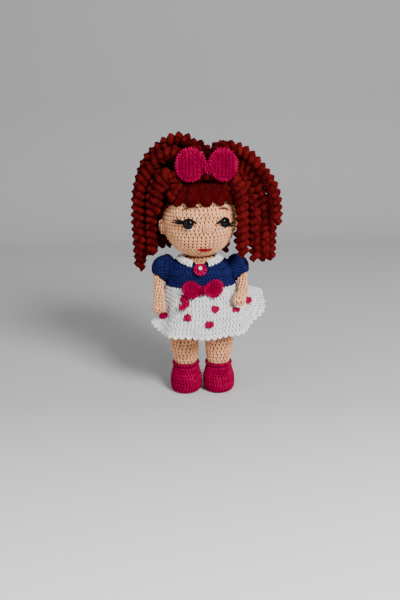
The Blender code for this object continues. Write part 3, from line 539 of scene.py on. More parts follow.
def board_material(name):
    """Pressed board with flecks."""
    material, graph, shader, place = blank_material(name)
    fleck = graph.field("ShaderNodeTexVoronoi", values={"Vector": place, "Scale": 1400.0})
    tone = mixed(graph, fleck, (0.36, 0.31, 0.24), (0.62, 0.57, 0.48))
    finish(graph, shader, tone, 0.8 + fleck * 0.1, fleck, 0.3, 0.0001)
    return material


def stage_material(name, colour):
    """Plain pale paper with painted light: painted palest in front and a shade darker where it
    stands up behind.
    """
    material, graph, shader, place = blank_material(name)
    depth, level = (
        graph.field("ShaderNodeSeparateXYZ", values={0: place}, output=axis) for axis in (1, 2)
    )
    cloud = noise(graph, place, 0.25, 2.0)
    # Painted light: the floor is painted lighter towards the front and the paper darker where it
    # stands up; the cloud is a faint random unevenness.
    share = ((level * 4.0).held() * 0.9 + cloud * 0.1).held()
    near = ((depth + 0.04) * -3.6).held()
    floor = mixed(graph, near, colour, shaded(colour, 1.7))
    finish(graph, shader, mixed(graph, share, floor, shaded(colour, 0.76)), 0.7 + cloud * 0.1)
    return material


materials = {}
# For each yarn, how much lighter its lightest fibres are in red, green and blue, and how
# light the painted shade of the gaps between its stitches is
yarn_tones = {
    "skin": ((1.22, 1.36, 1.50), 0.36),
    # The hair's green and blue gains tint its lightest fibres orange, a painted highlight.
    "hair": ((2.9, 10.0, 5.0), 1.00),
    "magenta": ((1.4, 1.6, 1.5), 0.50),
    "navy": ((1.5, 1.6, 1.6), 0.42),
    "white": ((1.12, 1.12, 1.13), 0.42),
}
dull_yarns = ("hair", "magenta", "navy", "black")


def make_materials():
    yarns = bpy.context.scene.doll_yarns
    for name in ("skin", "hair", "magenta", "navy", "white", "black", "brown", "red"):
        tone = tuple(getattr(yarns, name))
        light, under = yarn_tones.get(name, ((1.35, 1.35, 1.35), 0.45))
        materials[name] = yarn_material(f"{name}_thread", tone, light, name in dull_yarns)
        # Each yarn's second material is painted shade, for what shows between its stitches.
        materials[f"{name}_under"] = gap_shade_material(f"{name}_under_skin", tone, under)
    materials["eye"] = gloss_material("eye_gloss", (0.001, 0.001, 0.0012), 0.05, 0.0, 0.3, 0.16)
    materials["pearl"] = gloss_material("bead_pearl", (0.86, 0.82, 0.80), 0.12, 0.8, 0.06)
    materials["washer"] = gloss_material("washer_moulded", (0.70, 0.70, 0.68), 0.42)
    materials["wood"] = wood_material("dowel_grain")
    materials["board"] = board_material("insole_flecks")
    materials["cord"] = yarn_material("cord_twist", (0.55, 0.50, 0.43))


def stitch_tree():
    """Lays one stitch at each guide point. A stitch is a plump strand, or a mirrored pair."""
    tree = bpy.data.node_groups.new("worked_stitches", "GeometryNodeTree")
    graph = Graph(tree)
    inputs = {}
    for key, name, kind, value in (
        ("guide", "Guide", "Geometry", None),
        ("start", "Strand Start", "Vector", (0.07, -0.62, -0.02)),
        ("middle", "Strand Middle", "Vector", (0.50, -0.18, 0.42)),
        ("end", "Strand End", "Vector", (0.30, 0.52, -0.04)),
        ("thickness", "Strand Thickness", "Float", 0.20),
        ("ends", "End Share", "Float", 0.62),
        ("pair", "Pair", "Bool", True),
        ("wobble", "Wobble", "Float", 0.10),
        ("seed", "Seed", "Int", 1),
        ("yarn", "Yarn", "Material", None),
        ("palest", "Palest Tone", "Float", 1.0),
        ("darkest", "Darkest Tone", "Float", 0.0),
    ):
        socket = tree.interface.new_socket(name, in_out="INPUT", socket_type=f"NodeSocket{kind}")
        if value is not None:
            socket.default_value = value
        inputs[key] = socket.identifier
    tree.interface.new_socket("Geometry", in_out="OUTPUT", socket_type="NodeSocketGeometry")
    given = dict(zip(inputs, graph.node("NodeGroupInput").outputs))

    def stored(geometry, name, value, domain="POINT"):
        return graph.node(
            "GeometryNodeStoreNamedAttribute",
            {"data_type": "FLOAT", "domain": domain},
            {"Geometry": geometry, "Name": name, "Value": value},
        )

    def named(name, kind="FLOAT_VECTOR"):
        return graph.node("GeometryNodeInputNamedAttribute", {"data_type": kind}, {"Name": name})

    def drawn(low, high):
        return graph.field(
            "FunctionNodeRandomValue",
            {"data_type": "FLOAT"},
            {2: low, 3: high, "Seed": given["seed"]},
            output=1,
        )

    def together(first, second):
        made = graph.node("GeometryNodeJoinGeometry", values={0: first})
        graph.feed(made.inputs[0], second)
        return made

    strand = graph.node(
        "GeometryNodeCurveQuadraticBezier",
        values={
            "Resolution": 4,
            "Start": given["start"],
            "Middle": given["middle"],
            "End": given["end"],
        },
    )
    circle = graph.node(
        "GeometryNodeCurvePrimitiveCircle", values={"Resolution": 6, "Radius": given["thickness"]}
    )
    along = graph.field("GeometryNodeSplineParameter")
    round_it = abs(graph.field("GeometryNodeSplineParameter") * 2.0 - 1.0)
    off_middle = abs(along * 2.0 - 1.0)
    tube = graph.node(
        "GeometryNodeCurveToMesh",
        values={
            "Curve": stored(strand, "yarn_along", along),
            "Profile Curve": stored(circle, "yarn_round", round_it),
            "Scale": 1.0 - off_middle * off_middle * (1.0 - Field(graph, given["ends"])),
            "Fill Caps": True,
        },
    )
    mirrored = graph.node("GeometryNodeTransform", values={"Geometry": tube, "Scale": (-1, 1, 1)})
    flipped = graph.node("GeometryNodeFlipFaces", values={"Mesh": mirrored})
    chosen = graph.node(
        "GeometryNodeSwitch",
        {"input_type": "GEOMETRY"},
        {"Switch": given["pair"], "False": tube, "True": together(tube, flipped)},
    )

    parted = graph.node(
        "GeometryNodeSeparateGeometry",
        {"domain": "POINT"},
        {"Geometry": given["guide"], "Selection": named("worked", "BOOLEAN")},
    )
    facing_out = graph.node(
        "FunctionNodeAxesToRotation",
        {"primary_axis": "Z", "secondary_axis": "X"},
        {"Primary Axis": named("out"), "Secondary Axis": named("across")},
    )
    sway = drawn(Field(graph, given["wobble"]) * -1.0, given["wobble"])
    turn = graph.node("ShaderNodeCombineXYZ", values={"Z": sway})
    placed = graph.node(
        "FunctionNodeRotateRotation",
        {"rotation_space": "LOCAL"},
        {
            "Rotation": facing_out,
            "Rotate By": graph.node("FunctionNodeEulerToRotation", values={0: turn}),
        },
    )
    laid = graph.node(
        "GeometryNodeInstanceOnPoints",
        values={
            "Points": graph.node("GeometryNodeMeshToPoints", values={"Mesh": parted}),
            "Instance": chosen,
            "Rotation": placed,
            "Scale": named("stretch"),
        },
    )
    tinted = stored(laid, "tint", drawn(given["darkest"], given["palest"]), "INSTANCE")
    real = graph.node("GeometryNodeRealizeInstances", values={0: tinted})
    smooth = graph.node("GeometryNodeSetShadeSmooth", values={0: real})
    coloured = graph.node(
        "GeometryNodeSetMaterial", values={"Geometry": smooth, "Material": given["yarn"]}
    )
    result = graph.node("NodeGroupOutput")
    graph.feed(result.inputs[0], together(parted.outputs[1], coloured))
    return tree, inputs


def stitch_shares(start, middle, end, thickness, ends, wobble, pair=True):
    """A stitch's shape, in shares of its cell: where its strand starts, bends and ends, how
    thick it is, the share of that at its ends, and how far it is turned at random."""
    return {
        "start": start,
        "middle": middle,
        "end": end,
        "thickness": thickness,
        "ends": ends,
        "wobble": wobble,
        "pair": pair,
    }


pair_shares = stitch_shares(
    (0.03, -0.50, -0.14), (0.40, -0.30, 0.46), (0.42, 0.52, -0.08), 0.25, 0.80, 0.07
)
tall_shares = stitch_shares(
    (0.05, -0.54, -0.16), (0.40, -0.24, 0.52), (0.40, 0.54, -0.10), 0.225, 0.85, 0.18
)
ridge_shares = stitch_shares(
    (0.14, -0.50, -0.62), (0.34, -0.04, 1.16), (0.08, 0.50, -0.62), 0.25, 0.7, 0.22
)
edge_shares = stitch_shares(
    (0.06, -0.60, 0.0), (0.50, 0.0, 0.20), (0.16, 0.46, 0.0), 0.27, 0.9, 0.2
)
picot_shares = stitch_shares(
    (-0.40, 0.10, 0.0), (0.0, -1.35, 0.2), (0.40, 0.10, 0.0), 0.24, 0.8, 0.2, False
)
blob_shares = stitch_shares(
    (0.0, -0.42, -0.10), (0.20, 0.0, 0.50), (0.0, 0.42, -0.10), 0.42, 0.7, 0.14, False
)


# The tree that lays the stitches, and the identifiers of its inputs
stitchwork = []


def link(obj):
    bpy.context.scene.collection.objects.link(obj)
    return obj


def mesh_of(name, bm, material):
    """A smooth mesh of one material."""
    mesh = bpy.data.meshes.new(name)
    bm.to_mesh(mesh)
    bm.free()
    mesh.shade_smooth()
    mesh.materials.append(material)
    return mesh


def settled(name, mesh, body, slot, node=None):
    """Puts a finished mesh in the scene as a piece that rides on a body."""
    piece = link(bpy.data.objects.new(name, mesh))
    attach(piece, body)
    if node:
        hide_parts(node)
    return piece


def crochet(name, under, stitches, yarn, body="body", node=None, shares=pair_shares):
    """A finished piece: the under-skin, where it has one, with every stitch laid over it."""
    if under is None:
        under = bmesh.new()
    bmesh.ops.recalc_face_normals(under, faces=under.faces)
    # The under-skin wears the yarn's painted shade of the gaps between stitches.
    mesh = mesh_of(f"{name}_guide", under, materials[f"{yarn}_under"])
    count = len(mesh.vertices)
    mesh.vertices.add(len(stitches))
    places = np.zeros(len(mesh.vertices) * 3)
    mesh.vertices.foreach_get("co", places)
    places[3 * count :] = [c for stitch in stitches for c in stitch.place]
    mesh.vertices.foreach_set("co", places)
    worked = mesh.attributes.new("worked", "BOOLEAN", "POINT")
    worked.data.foreach_set("value", [i >= count for i in range(len(mesh.vertices))])
    for field in ("across", "out", "stretch"):
        values = np.zeros(len(mesh.vertices) * 3)
        values[3 * count :] = [c for stitch in stitches for c in getattr(stitch, field)]
        mesh.attributes.new(field, "FLOAT_VECTOR", "POINT").data.foreach_set("vector", values)
    mesh.update()

    guide = link(bpy.data.objects.new(f"{name}_guide", mesh))
    modifier = guide.modifiers.new("stitches", "NODES")
    modifier.node_group, inputs = stitchwork
    modifier[inputs["seed"]] = bpy.context.scene.doll_stitches.seed + len(name) + count
    modifier[inputs["yarn"]] = materials[yarn]
    for key, value in shares.items():
        modifier[inputs[key]] = value
    guide.update_tag()
    graph = bpy.context.evaluated_depsgraph_get()
    made = bpy.data.meshes.new_from_object(guide.evaluated_get(graph), depsgraph=graph)
    made.name = name
    bpy.data.objects.remove(guide)
    for field in ("worked", "across", "out", "stretch"):
        if field in made.attributes:
            made.attributes.remove(made.attributes[field])
    return settled(name, made, body, f"{yarn}_yarn", node)


def under_skin(node, relief, centre=None):
    """The solid drawn in a little on its outer side. With a centre, its inner wall stays."""
    bm = bmesh.new()
    bm.from_mesh(nodes[node].data)
    bmesh.ops.remove_doubles(bm, verts=bm.verts, dist=tiny / 10)
    bmesh.ops.recalc_face_normals(bm, faces=bm.faces)
    bm.normal_update()
    moved = []
    for vert in bm.verts:
        outer = centre is None or vert.normal.dot(vert.co - centre) > 0
        moved.append(vert.co - vert.normal * (skin_inset_share * relief if outer else 0.0))
    for vert, place in zip(bm.verts, moved):
        vert.co = place
    return bm


def over(node, stitches, yarn, relief, body="body", name=None, centre=None, shares=pair_shares):
    """A solid's own piece: its under-skin with stitches laid over it."""
    under = under_skin(node, relief, centre)
    return crochet(name or f"{node}_crochet", under, stitches, yarn, body, node, shares)


def turn_of(k, count):
    """The angle at step k of that many steps round."""
    return 2 * math.pi * k / count


def flattened(along, out):
    """The direction square to out that lies nearest to one given."""
    return along.cross(out).cross(-out).normalized()


def frame_of(across, up, out, middle=(0, 0, 0)):
    place = Matrix((across, up, out)).transposed().to_4x4()
    place.translation = Vector(middle)
    return place


def ring_faces(rings):
    """The corners of the faces from each ring to the next. A ring may be a single point."""
    faces = []
    for lower, upper in zip(rings, rings[1:]):
        count = max(len(lower), len(upper))
        for k in range(count):
            j = (k + 1) % count
            corners = [lower[k % len(lower)], lower[j % len(lower)]]
            corners += [upper[j % len(upper)], upper[k % len(upper)]]
            faces.append(list(dict.fromkeys(corners)))
    return faces


def distances(points):
    """How far along a line each of its points lies."""
    found = [0.0]
    for here, there in zip(points, points[1:]):
        found.append(found[-1] + (there - here).length)
    return found


def tree_of(node):
    mesh = nodes[node].data
    return BVHTree.FromPolygons(
        [v.co.copy() for v in mesh.vertices], [tuple(p.vertices) for p in mesh.polygons]
    )


def outside(solid, middle, way, reach=ray_reach):
    """A solid's outside, looked up from beyond it towards its middle."""
    hit = solid.ray_cast(middle + way * reach, -way)[0]
    return hit if hit is not None else middle + way * tiny


def round_axis(node, foot, top):
    """The solid's outside round a line, as a function of a turn and a share of the way up."""
    solid = tree_of(node)
    foot, top = Vector(foot), Vector(top)

    def surface(a, t):
        return outside(solid, foot.lerp(top, t), Vector((math.cos(a), math.sin(a), 0)))

    return surface


def ball_way(a, e):
    return Vector((math.cos(a) * math.cos(e), math.sin(a) * math.cos(e), math.sin(e)))


def round_centre(node, centre, low, high):
    """The solid's outside round a point, between two elevations."""
    solid = tree_of(node)

    def surface(a, t):
        return outside(solid, centre, ball_way(a, low + (high - low) * t))

    return surface


def ball(centre, radius, low, high, turn):
    """A sphere's outside between two elevations, turned by a matrix."""

    def surface(a, t):
        return centre + (turn @ ball_way(a, low + (high - low) * t)) * radius

    return surface


def round_line(node, points):
    """The solid's outside round a bent line."""
    solid = tree_of(node)
    line = Line(points)

    def surface(a, t):
        middle, normal, across = line.at(line.length * t)
        way = normal * math.cos(a) + across * math.sin(a)
        hit = outside(solid, middle, way, limb_ray_reach)
        return hit if (hit - middle).dot(way) > 0 else middle + way * tiny

    return surface


def facing(surface, a, t):
    """The place, the direction across and the direction out at a point of a surface."""
    step_a, step_t = 0.08, 0.03
    across = surface(a + step_a, t) - surface(a - step_a, t)
    along = surface(a, min(1.0, t + step_t)) - surface(a, max(0.0, t - step_t))
    out = across.cross(along)
    if out.length < 1e-12:
        out = Vector((0, 0, 1))
    return surface(a, t), across.normalized(), out.normalized()


def row_shares(surface, height):
    """The shares of the way up at which rounds of that height begin and end."""
    steps = 48
    lengths = [0.0]
    for i in range(steps):
        step = sum(
            (surface(a, (i + 1) / steps) - surface(a, i / steps)).length
            for a in (0.3, 1.9, 3.5, 5.1)
        )
        lengths.append(lengths[-1] + step / 4)
    rows = max(1, round(lengths[-1] / height))
    wanted = [lengths[-1] * i / rows for i in range(rows + 1)]
    return list(np.interp(wanted, lengths, [i / steps for i in range(steps + 1)]))


def sunk(place, out, relief):
    """Where a stitch's middle goes, under a place on the solid's outside."""
    return place - out * stitch_inset_share * relief


def rounds(surface, cell, relief, keep=None, first=0):
    """Stitches in level rounds over a surface, each round drifting a little past the last."""
    width, height = cell
    slant = bpy.context.scene.doll_stitches.slant
    marks = row_shares(surface, height)
    turns = [turn_of(i, ring_steps) for i in range(ring_steps + 1)]
    found = []
    for row, (low, high) in enumerate(zip(marks, marks[1:]), first):
        t = (low + high) / 2
        lengths = distances([surface(a, t) for a in turns])
        count = max(4, round(lengths[-1] / width))
        for k in range(count):
            along = (k + slant * row) % count / count * lengths[-1]
            a = float(np.interp(along, lengths, turns))
            place, across, out = facing(surface, a, t)
            tall = (surface(a, high) - surface(a, low)).length
            if (keep and not keep(place)) or tall > 2 * height:
                continue
            stretch = (lengths[-1] / count, max(tall, 0.4 * height), relief)
            found.append(Stitch(sunk(place, out, relief), across, out, stretch))
    return found


def front_of(node, place, width, height, cell, relief, keep=None):
    """Stitches in upright columns over the side of a piece that faces along a frame's Z."""
    solid = tree_of(node)
    turn = place.to_3x3()
    way = turn @ Vector((0, 0, 1))
    columns, rows = (max(1, round(2 * size / step)) for size, step in zip((width, height), cell))
    found = []
    for i in range(columns):
        for j in range(rows):
            x = width * (2 * (i + 0.5) / columns - 1)
            y = height * (2 * (j + 0.5) / rows - 1)
            hit, out, _, _ = solid.ray_cast(place @ Vector((x, y, ray_reach)), -way)
            if hit is None or out.dot(way) < 0.25 or (keep and not keep(x, y)):
                continue
            out = (out + way).normalized()
            across = flattened(turn @ Vector((1, 0, 0)), out)
            stretch = (2 * width / columns, 2 * height / rows, relief)
            found.append(Stitch(sunk(hit, out, relief), across, out, stretch))
    return found


def edge_of(place, outline, cell, relief):
    """Stitches all round an edge, each with its foot on the edge and its top outward."""
    points = [place @ Vector((*p, 0)) for p in outline]
    line = Line([*points, points[0]])
    wide, tall = cell
    count = max(4, round(line.length / wide))
    way = place.to_3x3() @ Vector((0, 0, 1))
    found = []
    for k in range(count):
        here = line.at(line.length * k / count)[0]
        ahead = line.at((line.length * (k + 0.2) / count) % line.length)[0]
        stretch = (line.length / count, tall, relief)
        found.append(Stitch(here, (ahead - here).normalized(), way, stretch))
    return found


class Line:
    """A line that can be read at any distance along it, with a frame that doesn't twist."""

    def __init__(self, points):
        self.points = points
        self.along = distances(points)
        self.length = self.along[-1]
        self.normals = []
        normal = Vector((0.05, 1, 0.02))
        for i in range(len(points)):
            tangent = self.tangent(i)
            normal = (normal - tangent * normal.dot(tangent)).normalized()
            self.normals.append(normal)

    def tangent(self, i):
        last = len(self.points) - 1
        return (self.points[min(i + 1, last)] - self.points[max(i - 1, 0)]).normalized()

    def at(self, distance):
        """The point at a distance along the line, and the two directions square to it."""
        distance = min(max(distance, 0.0), self.length)
        i = 0
        while i < len(self.along) - 2 and self.along[i + 1] < distance:
            i += 1
        t = (distance - self.along[i]) / (self.along[i + 1] - self.along[i])
        point = self.points[i].lerp(self.points[i + 1], t)
        tangent = self.tangent(i).lerp(self.tangent(i + 1), t).normalized()
        normal = self.normals[i].lerp(self.normals[i + 1], t)
        normal = (normal - tangent * normal.dot(tangent)).normalized()
        return point, normal, tangent.cross(normal)


def flowing(points, steps):
    """A smooth line through points."""
    points = [Vector(p) for p in points]
    line = []
    for i in range(len(points) - 1):
        before = points[max(i - 1, 0)]
        here, there = points[i], points[i + 1]
        after = points[min(i + 2, len(points) - 1)]
        handle = here + (there - before) / 6
        other = there - (after - here) / 6
        line += interpolate_bezier(here, handle, other, there, steps + 1)[:-1]
    line.append(points[-1])
    return line


def thread(name, paths, yarn, slot):
    """Threads sewn on the face as round tubes. Each path is its points and its radii."""
    bm = bmesh.new()
    tint, along, around = (
        bm.verts.layers.float.new(layer) for layer in ("tint", "yarn_along", "yarn_round")
    )
    for number, (points, radii) in enumerate(paths):
        line = Line(points)
        shares = np.linspace(0, 1, len(points))
        rings = []
        for i, radius in enumerate(np.interp(shares, np.linspace(0, 1, len(radii)), radii)):
            across = line.tangent(i).cross(line.normals[i])
            ring = []
            for k in range(thread_sides):
                a = turn_of(k, thread_sides)
                side = line.normals[i] * math.cos(a) + across * math.sin(a)
                vert = bm.verts.new(points[i] + side * max(float(radius), tiny / 4))
                vert[tint] = 0.5 + 0.45 * math.sin(number * 2.4)
                vert[along] = line.along[i] / 0.004
                vert[around] = abs(2 * k / thread_sides - 1)
                ring.append(vert)
            rings.append(ring)
        for corners in (*ring_faces(rings), rings[0], rings[-1]):
            bm.faces.new(corners)
    bmesh.ops.recalc_face_normals(bm, faces=bm.faces)
    settled(name, mesh_of(name, bm, materials[yarn]), "head_piece", slot)


def face_way(azimuth, elevation):
    """A direction out of the head: nought is straight ahead, and azimuth is to its left."""
    return Vector((
        math.sin(azimuth) * math.cos(elevation),
        -math.cos(azimuth) * math.cos(elevation),
        math.sin(elevation),
    ))


def on_head(azimuth, elevation):
    """A frame on the head whose Z points out of the face and whose Y points up it."""
    out = face_way(azimuth, elevation)
    across = Vector((math.cos(azimuth), math.sin(azimuth), 0))
    return head_frame @ frame_of(across, out.cross(across), out)


def photo_camera():
    """The photograph's camera: its place and turn in the world."""
    back = Vector((0, -math.cos(photo_pitch), math.sin(photo_pitch)))
    place = Matrix.Translation(photo_aim + back * photo_distance)
    look = (-back).to_track_quat("-Z", "Y").to_matrix().to_4x4()
    return place @ look @ Matrix.Rotation(photo_roll, 4, "Z")


def sight(x, y):
    """Where the photograph's camera stands, and the direction in which it sees a pixel."""
    camera = photo_camera()
    ray = Vector((
        (x - photo_width / 2) * photo_scale,
        (photo_height / 2 - y) * photo_scale,
        -photo_distance,
    ))
    return camera.translation, (camera.to_3x3() @ ray).normalized()


def on_face(x, y, proud):
    """The point of the head seen at a pixel, a little proud of it."""
    eye, way = sight(x, y)
    across = way.dot(head_centre - eye)
    nearest = (eye + way * across - head_centre).length
    radius = head_radius + proud
    return eye + way * (across - math.sqrt(max(0.0, radius ** 2 - nearest ** 2)))


class DOLL_OT_body(bpy.types.Operator):
    """Works the body and the legs in rounds of single stitches"""

    bl_idname = "doll.body"
    bl_label = "Body and legs"

    def execute(self, context):
        made = context.scene.doll_stitches
        cell, relief = (made.body_width, made.body_height), made.body_relief
        low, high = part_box("torso")
        torso = round_axis(
            "torso", (figure.x, figure.y, low.z + margin), (figure.x, figure.y, high.z - margin)
        )
        collar_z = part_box("dress_yoke")[1].z - torso_into_collar

        def bare(place):
            return place.z < yoke_hem_z - torso_under_dress or place.z > collar_z

        piece = over("torso", rounds(torso, cell, relief, bare), "skin", relief)
        for side, sign in sides:
            node = f"{side}_leg"
            low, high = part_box(node)
            foot = (figure.x + sign * leg_foot_x, figure.y, low.z + margin)
            top = (figure.x + sign * leg_top_x, figure.y, high.z - margin)
            leg = round_axis(node, foot, top)
            stitches = rounds(leg, cell, relief, lambda p: p.z > boot_top_z - leg_into_boot)
            piece = over(node, stitches, "skin", relief)
        return {"FINISHED"}


class DOLL_OT_arms(bpy.types.Operator):
    """Works the two bent arms in rounds"""

    bl_idname = "doll.arms"
    bl_label = "Arms"

    def execute(self, context):
        made = context.scene.doll_stitches
        relief = arm_relief_share * made.body_relief
        cell = (arm_cell_share * made.body_width, arm_cell_share * made.body_height)
        for side, sign in sides:
            node = f"{side}_arm"
            upper, fore, inward = (math.radians(v) for v in arm_angles[side])
            elbow = Vector((0, -math.sin(upper), -math.cos(upper))) * upper_arm_length
            reach = Vector((
                -sign * math.sin(inward),
                -math.sin(fore) * math.cos(inward),
                -math.cos(fore) * math.cos(inward),
            ))
            shoulder = shoulders[side]
            top = -elbow.normalized() * arm_top_height
            points = [top, -elbow * 0.05, elbow, elbow + reach * forearm_length * 0.96]
            line = [shoulder + p for p in flowing(points, 4)]
            sleeve = Vector((figure.x + sign * sleeve_x, shoulder.y, shoulder.z))

            def bare(place, sleeve=sleeve):
                return (place - sleeve).length > sleeve_radius - 0.0006

            stitches = []
            for stitch in rounds(round_line(node, line), cell, relief, bare):
                away = stitch.place - shoulder
                if sign * away.x < -arm_flat_x and away.length < arm_flat_reach:
                    wide, tall, rise = stitch.stretch
                    stitch = stitch._replace(
                        place=stitch.place - stitch.out * arm_flat_depth,
                        stretch=(wide, tall, arm_flat_share * rise),
                    )
                stitches.append(stitch)
            beside = reach.cross(Vector((0, 0, 1))).normalized()
            for share in (-0.5, 0.5):
                start = line[-1] + beside * share * hand_stitch_gap
                tip, out, _, _ = tree_of(node).ray_cast(start + reach * limb_ray_reach, -reach)
                if tip is not None:
                    out = (out + 2 * reach).normalized()
                    across = (beside - out * beside.dot(out)).normalized()
                    stretch = (*hand_stitch_size, relief)
                    stitches.append(Stitch(tip - out * hand_stitch_inset, across, out, stretch))
            piece = over(node, stitches, "skin", made.body_relief, f"{side}_arm_piece")
        return {"FINISHED"}


class DOLL_OT_boots(bpy.types.Operator):
    """Works the boots in fine rounds, with a row of points round each rim"""

    bl_idname = "doll.boots"
    bl_label = "Boots"

    def execute(self, context):
        made = context.scene.doll_stitches
        relief = made.fine_relief
        for side, sign in sides:
            node = f"{side}_boot"
            low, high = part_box(node)
            middle = Vector((
                figure.x + sign * leg_foot_x, (low.y + high.y) / 2 + margin, boot_middle_z
            ))
            boot = round_centre(node, middle, boot_low, boot_high)
            rim = round_axis(
                node,
                (middle.x, middle.y, boot_top_z - 0.0050),
                (middle.x, middle.y, boot_top_z - 0.0004),
            )

            def raised(a, t, boot=boot):
                place = boot(a, t)
                return Vector((place.x, place.y, max(place.z, boot_sole_gap)))

            stitches = rounds(
                raised,
                (made.fine_width, made.fine_height),
                relief,
                lambda p: p.z < boot_top_z - boot_rim_height,
            )
            stitches += rounds(rim, (made.fine_width, rim_round_height), relief)
            piece = over(node, stitches, "magenta", relief, centre=middle)
            points = []
            for k in range(rim_points):
                a = turn_of(k, rim_points)
                here, across, out = facing(rim, a, 0.5)
                foot = Vector((here.x, here.y, boot_top_z - 0.0006)) - out * 0.0009
                tall = rim_point_height + rim_corner_height * abs(math.cos(a)) ** 6
                points.append(Stitch(foot, -across, -out, (rim_point_width, tall, relief)))
            crochet(f"{node}_rim", None, points, "magenta", shares=picot_shares)
        return {"FINISHED"}


def skirt_surface(a, t):
    """A point on the skirt's outside, at a turn round it and a share of the way up."""
    down = 1 - t
    lobe = max(0.0, math.cos(a - skirt_lift_turn)) ** 3
    right = max(0.0, -math.cos(a)) ** 6
    reach = skirt_half_width + (skirt_left_reach - skirt_half_width) * lobe
    hem = skirt_hem_z + skirt_left_lift * lobe + skirt_right_lift * right
    top_z = yoke_hem_z - 0.0003
    z = top_z - down * (top_z - hem)
    spread = down ** (0.85 + 0.5 * lobe)
    for middle, width, depth_share, low_z in skirt_dents:
        away = math.remainder(a - middle, 2 * math.pi) / width
        beside = min(1.0, max(0.0, 1 + (z - low_z) / skirt_spring_height))
        spread *= 1 - depth_share * math.exp(-away ** 2) * beside
    ripple = math.cos(skirt_folds * a + 0.4) * (0.6 + 0.4 * abs(math.cos(a)))
    fold = skirt_fold_depth * down * ripple
    half_x = skirt_top_x + (reach - skirt_top_x) * spread + fold
    half_y = skirt_top_y + (skirt_half_depth - skirt_top_y) * spread + fold
    return figure + Vector((half_x * math.cos(a), half_y * math.sin(a), z))


def skirt_area():
    """The skirt's own area, added up from small four-sided patches."""
    columns, rows = 72, 12
    area = 0.0
    for k in range(columns):
        for i in range(rows):
            a, b = turn_of(k, columns), turn_of(k + 1, columns)
            low, high = i / rows, (i + 1) / rows
            across = skirt_surface(b, low) - skirt_surface(a, low)
            along = skirt_surface(a, high) - skirt_surface(a, low)
            area += across.cross(along).length
    return area


def skirt_dabs(pixels, sizes, along):
    """Stitches laid on the skirt's stitches, where the photograph shows them."""
    columns, rows = 96, 12
    rings = [range(i * columns, (i + 1) * columns) for i in range(rows + 1)]
    points = [
        skirt_surface(turn_of(k, columns), i / rows)
        for i in range(rows + 1)
        for k in range(columns)
    ]
    solid = BVHTree.FromPolygons(points, ring_faces(rings))
    found = []
    for (x, y), size in zip(pixels, sizes):
        place, out = solid.ray_cast(*sight(x, y))[:2]
        if place is not None:
            found.append(Stitch(place + out * 0.0006, flattened(along, out), out, size))
    return found


